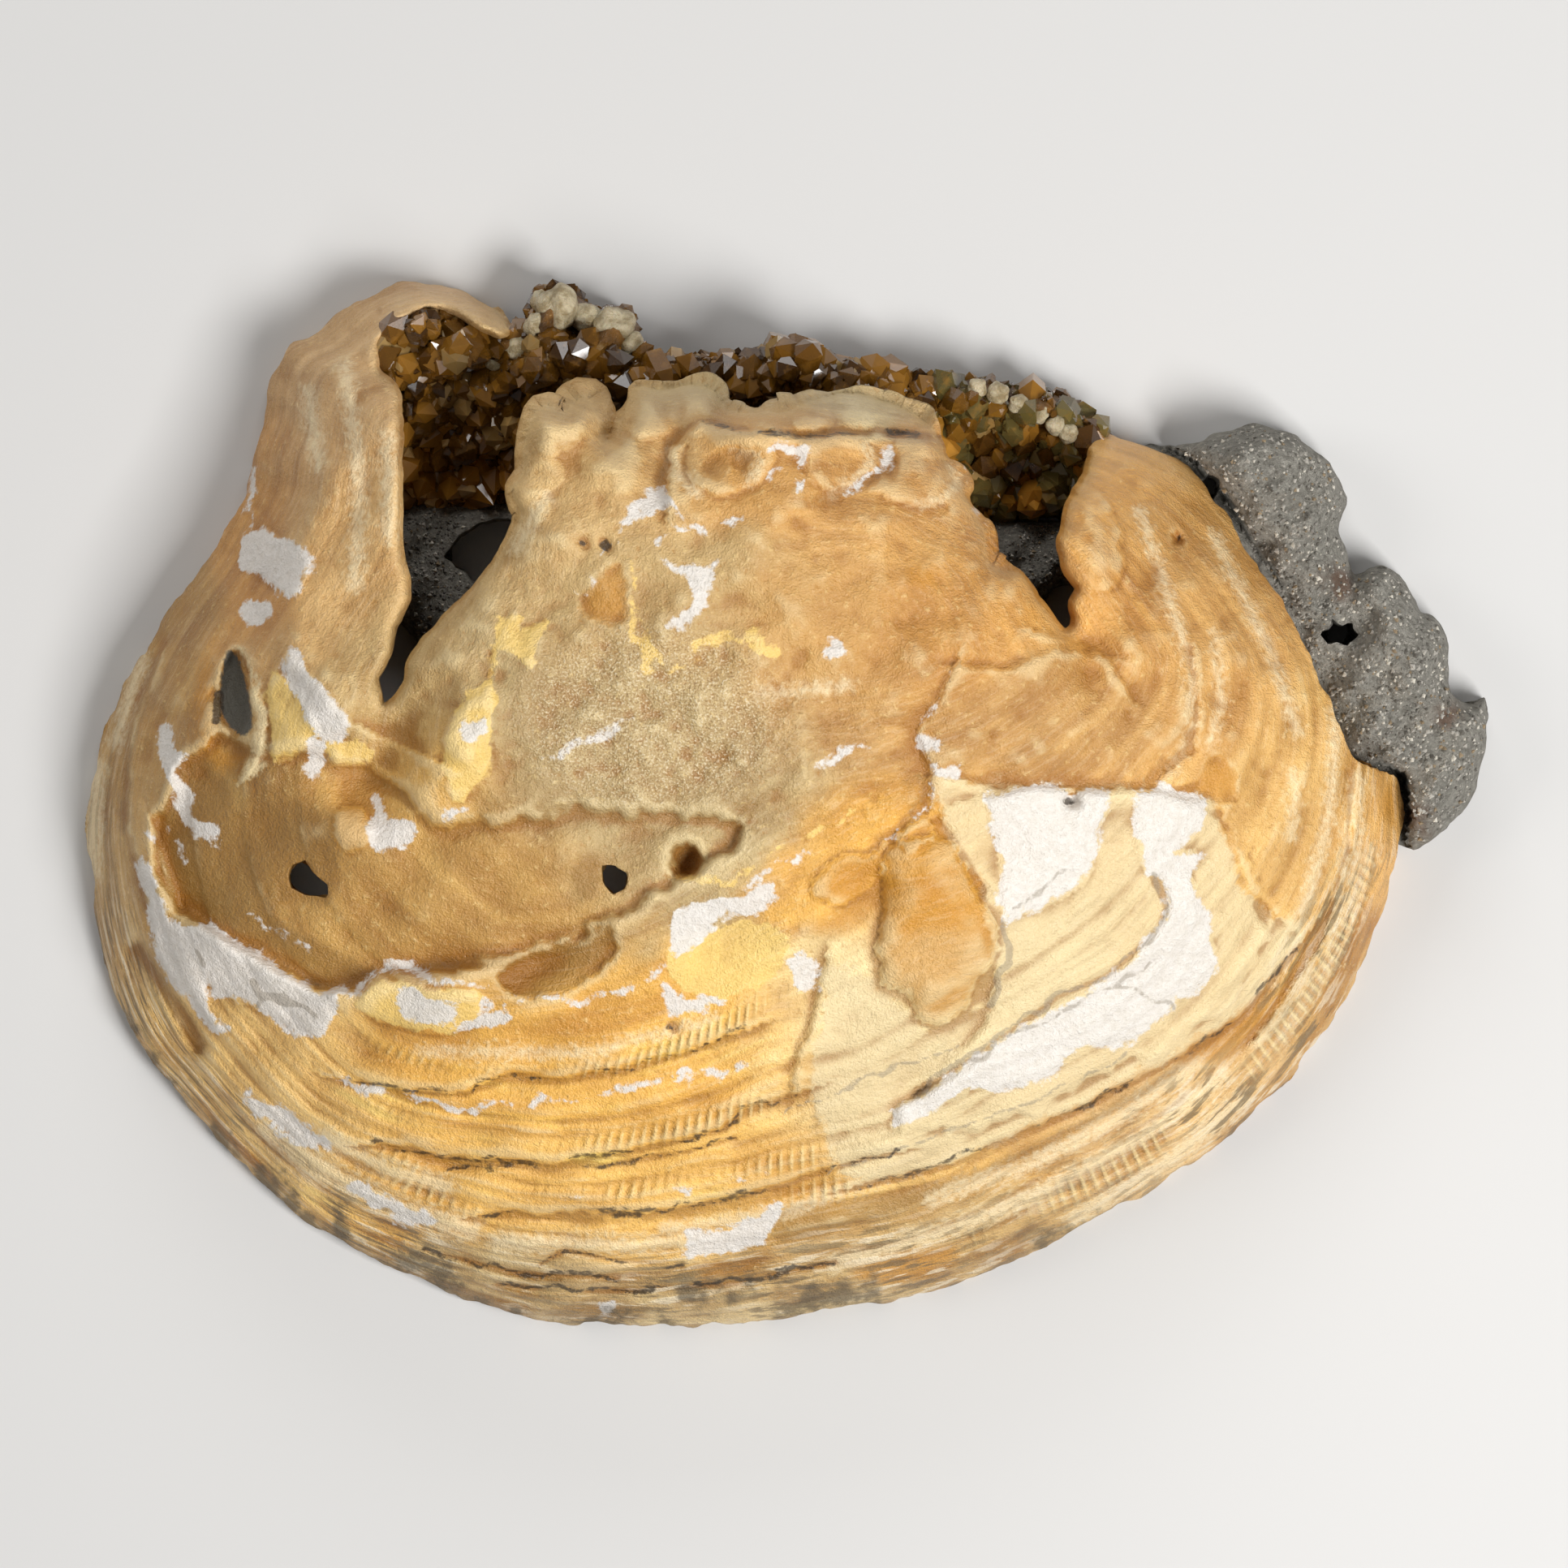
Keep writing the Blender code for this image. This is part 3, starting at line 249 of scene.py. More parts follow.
BROWN_FILLS = [
    [(-50, 4), (-52, -1), (-52.2, -4), (-50.3, -8.6), (-46, -11.3), (-42, -13.2), (-38.4, -15.2),
     (-35.6, -15.2), (-34, -13.9), (-38, -11.4), (-42, -9.4), (-40, -7.8), (-37.6, -8.4), (-36.6, -4.2),
     (-38, -1), (-41, 0.4), (-45, -0.6), (-46, 1.8)],
    [(-23.7, -14.6), (-22.3, -12.6), (-18, -11), (-14.4, -9.8), (-14, -12.4), (-17, -15), (-21, -16)],
    [(-9.4, -3.6), (-8, -3.2), (-7, -4.2), (-7.4, -6), (-8.8, -6.1), (-9.6, -5)],
    [(-16.8, -4.4), (-15.2, -4.2), (-15.2, -7.2), (-16.8, -7.8), (-17.6, -6)],
    [(15.7, -6.7), (16.8, -6.8), (16.6, -7.9), (15.6, -7.8)],
    [(-20, -42.2), (-16, -41), (-11.6, -41.6), (-12, -43), (-18, -43.2)],
    [(-1, -33.4), (6, -32.4), (14, -30.6), (20, -28.2), (18, -29.8), (10, -33.6), (2, -36), (-1, -36)],
]
BROWN_LINES = [
    ([(-53.8, -12.2), (-51.8, -15), (-49.8, -17.9), (-48.7, -20.2)], 0.75),
    ([(3.2, -12.8), (2.3, -16.7), (1.7, -18.8), (0.8, -20.6), (0.6, -23)], 0.28),
    ([(2.9, -20.6), (2.3, -22.7), (2.6, -27)], 0.22), ([(12, -32), (21, -28.4), (30, -23.4), (36, -19)], 0.5),
    ([(40, -19), (45, -10), (46.6, -4)], 0.5), ([(-55.4, 8), (-56.6, 0), (-56, -8)], 0.4),
    ([(-52.4, 12), (-54.6, 5), (-54.8, -2)], 0.5), ([(9.6, -2), (11.2, 0.4), (11, 2.4)], 0.3),
]
CRACK_A = [(-36.3, -22.7), (-32.1, -23.5), (-26.3, -23.8), (-25.4, -23.2), (-22.4, -22.1), (-20.6, -22.4),
           (-18.8, -22.6), (-12.8, -21.5), (-8.6, -20.3), (-5.5, -19.3), (-3.4, -18.5)]
CRACK_C = [(-33.9, -28.2), (-30.9, -28.3), (-28.4, -29.2), (-22.1, -29.3), (-18.8, -29.7), (-17.6, -29.2),
           (-13.4, -28.6), (-9.2, -27.6), (-5.2, -26.7), (-4, -25.2), (0.5, -23.8)]
CRACK_D = [(-24.8, -33.9), (-22.7, -33.6), (-20.6, -34), (-17.3, -33.6), (-11.6, -33.7), (-9.8, -33.4),
           (-4.9, -32.5), (-0.4, -31.3), (2.6, -30.3), (6.1, -29.1), (9, -28.6)]
BELLY_LEDGE = [(6.1, -31.4), (13.3, -29.7), (19.1, -27.1), (25.1, -24.5), (31.5, -21.3), (37.5, -17.6), (42, -12)]
# Dark lines painted near black. The cracks along the steps are partly painted shade in their undercut; the belly
# ledge line and the line under the upper lobes by the beak are painted shadow below a step; the dots at the pits by
# (23, 0) and (32, 22) are painted shade in them
CRACKS_AND_SHADOW_LINES = [
    (CRACK_A, 0.12), (CRACK_C, 0.13), (CRACK_D, 0.13),
    ([(-28.1, -29.9), (-21.8, -29.7), (-14.6, -29.7), (-8, -28.5), (-4.3, -27.4)], 0.12),
    ([(-20.3, -38.1), (-18.2, -36.9), (-14, -37.8), (-8.6, -38.1)], 0.13), (BELLY_LEDGE, 0.15),
    ([(-24, -40), (-14, -40.4), (-4, -39.6), (4, -38)], 0.16), ([(-30, -37), (-22, -39), (-14, -39.2)], 0.14),
    ([(-46.95, 9), (-46.7, 6.7)], 0.5), ([(-16.6, 21.4), (-16.3, 21)], 0.32),
    ([(-14.9, 21.3), (-14.6, 20.9)], 0.32),
    ([(-7, 31.2), (-3, 30.35), (1, 30.05), (6.2, 30.35), (11.1, 30.1)], 0.14),
    ([(23.2, 0.3), (23.4, 0.2)], 0.4), ([(-9.3, -18.2), (-9.1, -18.4)], 0.3),
    ([(32.2, 21.9), (32.3, 21.6)], 0.3),
]
HAIRLINES = [
    ([(18.5, -8.9), (20.5, -7.2), (23.4, -5.4)], 0.12), ([(26.3, -15.2), (28.9, -15.2), (31.5, -16.7)], 0.12),
    ([(10.7, -23.6), (18.8, -18.4), (22.3, -15.8), (26.3, -14.1), (30.6, -10.3), (31.2, -8.3), (30, -6)], 0.16),
    ([(10.4, -23.9), (19.1, -19), (26.3, -15.2), (30.6, -12.6)], 0.13),
    ([(0, -25.4), (8, -22), (14, -20)], 0.12), ([(3, -30.4), (12, -27.6), (20, -24.4), (28, -20.6)], 0.12),
    ([(-44.2, -14.9), (-42.4, -16.2), (-40, -16.6)], 0.3),
    ([(-43.4, -16.4), (-41.6, -15.6), (-38.6, -17.2)], 0.25), ([(-48.6, -12), (-48, -13.2)], 0.2),
    ([(17.6, -9.5), (18.2, -13), (16.4, -16.4)], 0.3),
]
DIRT = [
    ([(-55.6, -19), (-51, -25), (-47, -29.2), (-40, -35.2), (-33, -39.4), (-26, -41.8)], 1.0),
    ([(-38, -35), (-33, -37.4), (-27, -40)], 0.7), ([(-1, -42), (7, -40.8)], 0.8),
    ([(-22, -42.6), (-10, -43.2)], 0.5),
    ([(20, -36.8), (26, -34)], 0.5), ([(-10, -40.6), (2, -40.2)], 0.35),
]
# Rounded pale lumps on the crust's back edge: centre, radius
LUMPS = [
    ((-18.9, 41.1, 7.4), 1.9), ((-14.3, 39.6, 7.2), 1.7), ((-16.6, 40.3, 6.6), 1.3), ((-20.6, 39.4, 7.8), 1.2),
    ((-22.4, 37.6, 8.4), 1.1), ((-12.9, 38.2, 7.6), 1.0), ((-10.6, 36.6, 8.2), 0.8), ((-20.2, 41.6, 6.4), 1.0),
    ((-24.2, 36.4, 8.4), 0.7), ((15.8, 34.4, 8.8), 0.8), ((17.5, 34.0, 8.6), 0.9), ((19.2, 33.1, 8.4), 0.8),
    ((20.8, 32.3, 8.2), 0.9), ((22.3, 31.3, 8.0), 0.8), ((23.4, 30.6, 7.8), 0.8),
]
GREY = [(-46.4, 12), (-45.4, 12.4), (-44.2, 9), (-43.9, 6.2), (-45, 5.6), (-46.6, 7.6)]

# Lips where one layer ends over the next: line, height, how far the lift dies away
LIPS = [
    (CRACK_A, 0.8, 2.2), (CRACK_C, 0.9, 2.6), (CRACK_D, 0.8, 2.4), (BELLY_LEDGE, 1.3, 3.0),
    ([(-52, -3), (-50, -9), (-46, -11.2), (-42, -13.2), (-38, -15.5), (-35, -15.2), (-33, -13.8),
     (-27, -13.7)], -1.0, 2.0),
    ([(11.1, 30.1), (6.2, 30.35), (1, 30.05), (-3, 30.35), (-7, 31.2), (-9.4, 29.2), (-9.6, 26.6)], 1.5, 3.0),
    ([(3.2, -12.8), (2.3, -16.7), (1.7, -18.8), (0.8, -20.6), (0.6, -23)], 0.6, 1.6),
    ([(13.5, 10.8), (12.3, 7.9), (10.6, 5.9), (11.7, 2.4), (11.7, -0.7), (8.3, -3)], 0.7, 1.8),
    ([(14, 11.2), (18, 10.9), (22, 12.6), (26, 12)], -0.6, 1.4),
    ([(33.4, 12), (33.8, 8), (33.2, 4), (31, 2.3)], 0.7, 1.4), ([(28, 9), (25.6, 12.6), (20.6, 14)], 0.7, 1.4),
    ([(-34, 6), (-31, 4.6), (-28.4, 3.4)], -0.8, 1.6),
    ([(12, 2.2), (16.8, 1.4), (26, 1.2), (29.6, 1)], -0.7, 1.4),
    ([(36, -1.6), (38, -7), (41.8, -10.4)], 0.5, 1.4),
    ([(-52, 12), (-54.4, 6), (-54.6, -2), (-53, -8)], 0.6, 1.6),
    ([(47, 4), (46.6, -4), (44, -12), (39, -19)], 0.7, 1.6),
]
# Swollen or sunken patches with a round shoulder: outline, shoulder width, height
CUSHIONS = [
    (AMBER_FILLS[0], 2.6, 1.7), (AMBER_FILLS[2], 1.6, 0.8), (YELLOW_FILLS[0], 0.7, 0.35),
    (YELLOW_FILLS[1], 0.8, 0.5), (CHALK_FILLS[3], 0.8, 0.5), (CHALK_FILLS[5], 0.7, 0.4),
    (YELLOW_FILLS[2], 0.9, 0.5), (AMBER_FILLS[1], 0.9, -0.5), (AMBER_FILLS[8], 1.0, 0.6),
    (BROWN_FILLS[1], 0.9, -0.8), (BROWN_FILLS[2], 0.8, -1.2), (CHALK_FILLS[0], 0.5, 0.3),
    (CHALK_FILLS[1], 0.5, 0.3), (AMBER_FILLS[5], 1.0, -0.5), (CHALK_FILLS[2], 0.6, 0.35),
    ([(22.4, 19.4), (22.6, 23.4), (24, 26.4), (26.6, 24.4), (27.6, 20.5), (26.7, 17.8), (24.4, 17.2)],
     2.2, 0.8), ([(8.6, -2.8), (10.8, -0.9), (12.2, -2.2), (10.4, -4)], 0.9, 0.6), (CREAM_FILLS[1], 0.5, 0.4),
    ([(1, 29.6), (3.7, 30.1), (6, 29.9), (7.4, 28.9), (7.5, 27.6), (6.1, 26.4), (4, 25.3), (2.6, 25.9),
     (1.2, 27.4)], 1.5, 0.8),
    ([(8.8, 29.8), (10.6, 30.1), (12.7, 29.1), (13.9, 26.2), (13.2, 24.8), (10.6, 24.4), (8, 24.9),
     (6.4, 25.6), (8.3, 26.9), (8.9, 28.2)], 1.4, 0.8),
    ([(-7.3, 30.1), (-4, 30.3), (-1.4, 29.4), (-0.9, 27.9), (-2.6, 25.9), (-5, 25.1), (-7.2, 25.7),
     (-8.1, 27.6)], 0.8, 0.6),
    ([(-6.6, 28.6), (-4.2, 29.3), (-2.6, 28.4), (-3.4, 26.8), (-4.6, 27.6), (-5.6, 26.4), (-6.9, 26.9)],
     1.2, -0.45),
]
# Rounded lobes of the beak's free edge: centre, radius, height
LOBES = [
    (-19.0, 30.9, 2.6, 1.9), (-15.9, 31.6, 1.6, 1.5), (-11.2, 32.2, 2.6, 1.7), (-7.3, 32.5, 2.6, 1.5),
    (-20.4, 27.4, 2.4, 1.2), (-1.6, 31.4, 1.8, 0.8), (2.1, 32.1, 2.1, 1.1), (5.8, 32.5, 2.1, 1.1),
    (9.2, 31.9, 1.9, 1.0), (12.2, 29.8, 1.8, 0.9), (-14.2, 27.6, 2.8, 0.9), (14.4, 24.8, 1.6, 0.7),
    (-20.8, 24.2, 1.7, 0.8), (-33.2, 37.4, 2.0, 0.8), (-31.6, 40.8, 2.0, 0.8),
]

# Broad colour of each part of the outer face: centre, reach, colour as it looks on a screen
REGIONS = [
    ((-38, 34), (5, 9), (206, 166, 116)), ((-36, 20), (5, 9), (206, 163, 106)),
    ((-44, 24), (3, 8), (200, 146, 82)), ((-53, 6), (5, 9), (178, 136, 80)),
    ((-56, -8), (3, 10), (206, 168, 112)), ((-46, -4), (7, 7), (168, 130, 76)),
    ((-29, -7), (10, 6), (190, 146, 84)), ((-30, 2), (6, 4), (212, 164, 92)),
    ((-33, 9), (4, 5), (192, 160, 108)), ((-12, 5), (11, 8), (186, 160, 114)),
    ((-10, 16), (8, 5), (198, 166, 114)), ((-16, 28), (7, 6), (208, 170, 114)),
    # The parts near the beak and on the upper right, from (8, 25) round to (43, -3), are set some 14 levels darker
    # than their colour, as painted shade against the key lamp, which lights the top more strongly than the lower
    # margin
    ((-3, 27), (6, 4), (206, 156, 92)), ((8, 25), (7, 6), (202, 152, 90)),
    ((3, 33.5), (11, 2), (190, 166, 122)), ((5, 14), (7, 7), (202, 154, 92)),
    ((13, 15), (5, 6), (200, 146, 80)), ((20, 7), (6, 4), (192, 146, 88)), ((26, 20), (5, 7), (212, 156, 84)),
    ((35, 18), (7, 10), (212, 162, 96)), ((43, -3), (5, 10), (218, 172, 104)),
    ((50, -3), (2.5, 10), (218, 166, 98)), ((36, -26), (12, 5), (222, 180, 120)),
    ((-15, -22), (18, 5), (238, 182, 92)), ((-12, -31), (22, 5), (236, 184, 100)),
    ((-46, -24), (9, 8), (232, 190, 120)), ((-18, -40), (24, 3), (206, 176, 124)),
    ((14, -36), (16, 3.5), (208, 172, 114)), ((6, -4), (6, 4), (216, 160, 78)),
    ((8, -22), (8, 6), (230, 204, 150)),
]

# What gloss and lamps add to a surface colour, and how much of it is left
WASH = 0.02
GAIN = 0.96

# Growth lines of the outer face: share of the way from the last long pause to the margin
FINE_STEPS = (0.14, 0.36, 0.44, 0.6, 0.67, 0.76, 0.84, 0.9, 0.95)
FLANK_STEPS = (-0.6, -0.2, 0.2, 0.5, 0.8)
RIB_BANDS = (-0.16, 0.19, 0.42, 0.55)
# Round rises and hollows of the rock and of the crust: centre, size, height
ROCK_MOUNDS = [(39.5, 27, 4.2, 1.8), (51, 9.5, 4.6, 1.6), (46.3, 15.6, 2.4, -2.8), (55.3, 3.5, 3.0, -0.6),
               (36, 29, 2.5, 0.6), (50.5, 15.5, 3.0, 0.8)]
CRUST_MOUNDS = [(-24.0, 27.0, 2.4, -2.0), (-18.0, 39.6, 1.5, -3.0), (-27.5, 33.5, 3.0, -1.2),
                (19.5, 28.0, 3.2, -1.0), (0.5, 36.5, 2.4, 1.2), (-4.0, 35.5, 2.0, -1.0),
                (21.5, 32.5, 2.0, 1.4), (14.5, 34.0, 2.0, 1.0)]
# Pits of the outer face: centre, half length, half width, depth
PITS = [(-8.0, -4.5, 1.2, 1.3, 1.7), (-45.4, 9.0, 1.4, 3.7, 2.0), (23.3, 0.3, 0.8, 0.8, 1.0),
        (32.2, 21.8, 0.5, 0.6, 0.8)]
# Rusty stains of the rock: centre, size
STAINS = [((45.5, 18), 1.6), ((54.8, 7.3), 1.2), ((52.5, -1.5), 1.4), ((42, 9.5), 1.0)]
GRAIN_SHADES = ((168, 163, 153), (132, 128, 120), (96, 92, 84), (204, 198, 184), (142, 124, 98))
CRYSTAL_SHADES = ((128, 86, 26), (166, 116, 42), (84, 54, 18), (190, 154, 94), (112, 98, 54))
# Boxes that the lattices fill, in millimetres; the shell's is of the dome laid out flat
SHELL_BOX = ((-76, -76), (72, 50))
ROCK_BOX = ((-39, -6), (60, 33))
CRUST_BOX = ((-37, 22), (29, 45))
# Point spacing of the top and under sheets, and rows of points down a wall
SHELL_SPACING, SHELL_WALL_ROWS = (0.405, 1.2), 7
ROCK_SPACING, ROCK_WALL_ROWS = (0.36, 1.5), 5
ROW_STEP = 0.866
# Growth rings as a strip: millimetres for a radian round the shell, and from the pole to the margin
RING_RADIUS = 42
RING_REACH = 62
# No more than so many of the scattered places are used
MOST_GRAINS = 6500
MOST_CRYSTALS = 2100
MOST_WALL_CRYSTALS = 900
CRYSTAL_SIDES = 6
CRUST_FLOOR = 0.6
# Lens, and the scale read from the fine ribs of the photo
LENS = 350
SENSOR = 36
MM_PER_PIXEL = 0.0675
FRAME_PIXELS = 1932

NOISE_TABLE = np.random.default_rng(7).random((256, 256))


def curve_through(points, per=6):
    """Closed smooth line through plan points."""
    line = []
    count = len(points)
    for index in range(count):
        before, start, end, after = (np.array(points[(index + k) % count], float) for k in (-1, 0, 1, 2))
        for step in range(per):
            t = step / per
            line.append(0.5 * (2 * start + (end - before) * t
                               + (2 * before - 5 * start + 4 * end - after) * t ** 2
                               + (3 * start - before - 3 * end + after) * t ** 3))
    return np.array(line)


def stretches(x, y, points):
    """For each stretch of a line: its ends, and how far each place is off it."""
    for (ax, ay), (bx, by) in zip(points, points[1:]):
        dx, dy = bx - ax, by - ay
        share = np.clip(((x - ax) * dx + (y - ay) * dy) / (dx * dx + dy * dy), 0, 1)
        yield (ax, ay), (bx, by), (x - ax - share * dx, y - ay - share * dy)


def edge_distance(x, y, points):
    """Distance to a closed plan outline, positive inside it."""
    best = np.full(x.shape, 1e9)
    inside = np.zeros(x.shape, bool)
    points = [tuple(p) for p in points]
    for (ax, ay), (bx, by), (off_x, off_y) in stretches(x, y, points + points[:1]):
        best = np.minimum(best, off_x ** 2 + off_y ** 2)
        if ay != by:
            inside ^= ((ay > y) != (by > y)) & (x < (bx - ax) * (y - ay) / (by - ay) + ax)
    best = np.sqrt(best)
    return np.where(inside, best, -best)


def line_distance(x, y, points, width):
    """Half width left inside an open line, negative outside it."""
    best = np.full(x.shape, 1e9)
    for _, _, off in stretches(x, y, points):
        best = np.minimum(best, np.hypot(*off))
    return width - best


def around(x, y, points, pad):
    """Which plan places lie in the box about some points."""
    (x0, y0), (x1, y1) = np.min(points, axis=0) - pad, np.max(points, axis=0) + pad
    return (x > x0) & (x < x1) & (y > y0) & (y < y1)


def marking(x, y, fills=(), lines=()):
    """Signed distance into a set of markings, clipped to a few millimetres."""
    value = np.full(x.shape, -3.0)
    for points in fills:
        line = curve_through(points, 3)
        near = around(x, y, line, 3)
        value[near] = np.maximum(value[near], edge_distance(x[near], y[near], line))
    for points, width in lines:
        near = around(x, y, points, 3 + width)
        value[near] = np.maximum(value[near], line_distance(x[near], y[near], points, width))
    return np.minimum(value, 6)


def ease(value):
    """Smooth step from 0 to 1."""
    value = np.clip(value, 0, 1)
    return value * value * (3 - 2 * value)


def noise(x, y, size, seed=0):
    """Smooth noise from -1 to 1 with features of a size."""
    u, v = x / size + 37.7 * seed + 500, y / size + 11.3 * seed + 500
    i, j = np.floor(u).astype(int), np.floor(v).astype(int)
    a, b = ease(u - i), ease(v - j)
    low = NOISE_TABLE[i % 256, j % 256] * (1 - a) + NOISE_TABLE[(i + 1) % 256, j % 256] * a
    high = NOISE_TABLE[i % 256, (j + 1) % 256] * (1 - a) + NOISE_TABLE[(i + 1) % 256, (j + 1) % 256] * a
    return 2 * (low * (1 - b) + high * b) - 1


def rough(x, y, size, octaves=3, seed=0):
    """Noise with finer and finer detail."""
    return sum(noise(x, y, size / 2 ** k, seed + k) / 2 ** k for k in range(octaves))


def polar_margin(outline):
    """Turn about the pole, and distance from it, along an outline."""
    line = curve_through(outline) - np.array(POLE)
    turn = np.arctan2(line[:, 1], line[:, 0])
    order = np.argsort(turn)
    return turn[order], np.hypot(line[:, 0], line[:, 1])[order]


EDGE_TURN, EDGE_REACH = polar_margin(MARGIN)
GROWN_TURN, GROWN_REACH = polar_margin(GROWN_MARGIN)
GAP_LINE = curve_through(GAP, 3)
MATRIX_LINE = curve_through(MATRIX, 3)
CRUST_LINE = curve_through(CRUST, 3)


def belly(turn, soft):
    """1 along the lower margin, where the growth layers end."""
    return between(turn, -150, -18, soft)


def edge_reach(turn):
    return np.interp(turn, EDGE_TURN, EDGE_REACH, period=2 * math.pi)


def reach(turn):
    return np.interp(turn, GROWN_TURN, GROWN_REACH, period=2 * math.pi)


def between(turn, low, high, soft):
    """1 between two turns in degrees, with soft ends."""
    degrees = np.degrees(turn)
    return ease((degrees - low) / soft + 0.5) * ease((high - degrees) / soft + 0.5)


def rim_height(turn):
    return RIM_THICKNESS + 2.4 * between(turn, -30, 44, 44)


def pause_share(turn):
    return np.interp(np.degrees(turn), PAUSE_TURN, PAUSE_SHARE)


def polar(x, y):
    """Turn about the pole, and share of the way to the grown margin."""
    dx, dy = x - POLE[0], y - POLE[1]
    turn = np.arctan2(dy, dx)
    return turn, np.hypot(dx, dy) / reach(turn)


def dome(x, y):
    turn, share = polar(x, y)
    hinge = between(turn, 62, 112, 50)
    power = 2.4 + 1.6 * hinge
    bend = 0.74 - 0.14 * hinge
    rim = rim_height(turn)
    return rim + (DOME_HEIGHT - rim) * np.clip(1 - np.clip(share, 0, 1) ** power, 0, 1) ** bend


def lip(x, y, points, height, fade):
    """A step along an open line: half up on its left, half down on its right, dying away from it."""
    best = np.full(x.shape, 1e9)
    side = np.zeros(x.shape)
    for (ax, ay), (bx, by), off in stretches(x, y, points):
        gap = np.hypot(*off)
        nearer = gap < best
        best = np.where(nearer, gap, best)
        side = np.where(nearer, np.sign((bx - ax) * (y - ay) - (by - ay) * (x - ax)), side)
    signed = best * side + 0.18 * noise(x, y, 0.9, 31)
    return height * (ease(signed / 0.7 + 0.5) - 0.5) * np.exp(-(best / fade) ** 2)


def cushion(x, y, line, shoulder, height):
    """A patch swollen or sunken, with a round shoulder."""
    depth = np.clip((edge_distance(x, y, line) + 0.25 * noise(x, y, 1.1, 33)) / shoulder, 0, 1)
    return height * np.sqrt(1 - (1 - depth) ** 2)


def mounds(x, y, places):
    return sum(height * np.exp(-((x - cx) ** 2 + (y - cy) ** 2) / size ** 2) for cx, cy, size, height in places)


def ledge(band, place, front, back):
    """A growth step: up at a place of the band, dying away behind it."""
    return ease((place - band) / front + 0.5) - ease((place - band) / back)


def cut(x, y, points, width):
    """The groove along a dark line."""
    gap = width - line_distance(x, y, points, width)
    return -(0.2 + 1.3 * width) * np.exp(-(gap / (0.22 + 0.8 * width)) ** 2)


def relief(x, y):
    """Growth steps, ledges, plates and lumps, as on the solid but with their fine detail."""
    turn, share = polar(x, y)
    start = pause_share(turn)
    band = (share - start) / (1 - start) + 0.012 * noise(x, y, 6, 3)
    lower = belly(turn, 26)
    flank = between(turn, -178, -120, 30) + between(turn, -30, 6, 14)
    lift = np.zeros(x.shape)
    for place, drop in STEPS:
        lift = lift + 0.5 * lower * drop * ledge(band, place, 0.05, 0.24)
    for place in FINE_STEPS:
        lift = lift + 0.3 * lower * ledge(band, place + 0.014 * noise(x, y, 4, place * 40), 0.02, 0.07)
    for place in FLANK_STEPS:
        lift = lift + 0.22 * flank * ledge(band, place + 0.03 * noise(x, y, 7, place * 30), 0.04, 0.3)
    wobble = 0.5 * rough(x, y, 2.4, 3, 9)
    lift = lift - 1.5 * ease((edge_distance(x, y, LOWERED) + wobble) / 1.1 + 0.5)
    lift = lift + 0.6 * ease((edge_distance(x, y, PLATE) + wobble) / 0.8 + 0.5)
    for cx, cy, length, width, tilt, height in FEATURES:
        angle = math.radians(tilt)
        u = ((x - cx) * math.cos(angle) + (y - cy) * math.sin(angle)) / length
        v = ((y - cy) * math.cos(angle) - (x - cx) * math.sin(angle)) / width
        lift = lift + height * np.exp(-1.3 * (u * u + v * v))
    for points, height, fade in LIPS:
        near = around(x, y, points, 2.6 * fade)
        lift[near] += lip(x[near], y[near], points, height, fade)
    for points, shoulder, height in CUSHIONS:
        line = curve_through(points, 3)
        near = around(x, y, line, 0.5)
        lift[near] += cushion(x[near], y[near], line, shoulder, height)
    for points, width in CRACKS_AND_SHADOW_LINES + HAIRLINES[2:4] + BROWN_LINES[:1]:
        near = around(x, y, points, 1 + 2.5 * width)
        lift[near] += cut(x[near], y[near], points, width)
    for cx, cy, radius, height in LOBES:
        part = 1 - ((x - cx) ** 2 + (y - cy) ** 2) / radius ** 2
        lift = lift + 0.75 * height * np.clip(part, 0, 1) ** 0.85
    lift = lift + 0.25 * np.sin(0.42 * x + 0.9) * np.sin(0.5 * y) + 0.18 * np.sin(0.8 * x - 0.7 * y)
    upper = ease((y + 6) / 12)
    grainy = np.exp(-(((x + 11) / 13) ** 2 + ((y - 6) / 9) ** 2))
    lift = lift + (0.14 + 0.24 * upper) * rough(x, y, 3.2, 3, 1) + 0.22 * grainy * rough(x, y, 1.1, 2, 5)
    return lift * (0.25 + 0.75 * ease((1 - share) / 0.03))


def inner_reach(turn):
    return edge_reach(turn) - WALL + 12.5 * between(turn, 50, 118, 16)


def inner_face(turn, share):
    """Height of the shell's inner wall."""
    hinge = between(turn, 55, 122, 34)
    power = 2.4 - 0.5 * hinge
    bend = 0.74 + 0.26 * hinge
    return RIM_THICKNESS + (DOME_HEIGHT - ROOF - RIM_THICKNESS) * np.clip(1 - share ** power, 0, 1) ** bend


def rounded(edge, shift, width, least):
    """Falls off in a quarter circle towards an edge."""
    return np.sqrt(np.clip(1 - (1 - np.clip((edge + shift) / width, 0, 1)) ** 2, least, 1))


def rock_base(x, y):
    """Rock top without its grain, as on the solid."""
    edge = edge_distance(x, y, MATRIX)
    outside = ease((-edge_distance(x, y, MARGIN) + 2.0) / 5.0)
    top = 5.2 + 1.3 * ease((x - 24) / 10) + (MATRIX_HEIGHT - 6.5) * outside
    top = top + 0.5 * np.sin(0.75 * x + 1.0) * np.sin(0.65 * y + 0.4) + 0.4 * np.sin(1.35 * x - 1.1 * y)
    return (top + outside * mounds(x, y, ROCK_MOUNDS)) * rounded(edge, 0.3, 3.6, 0.1)


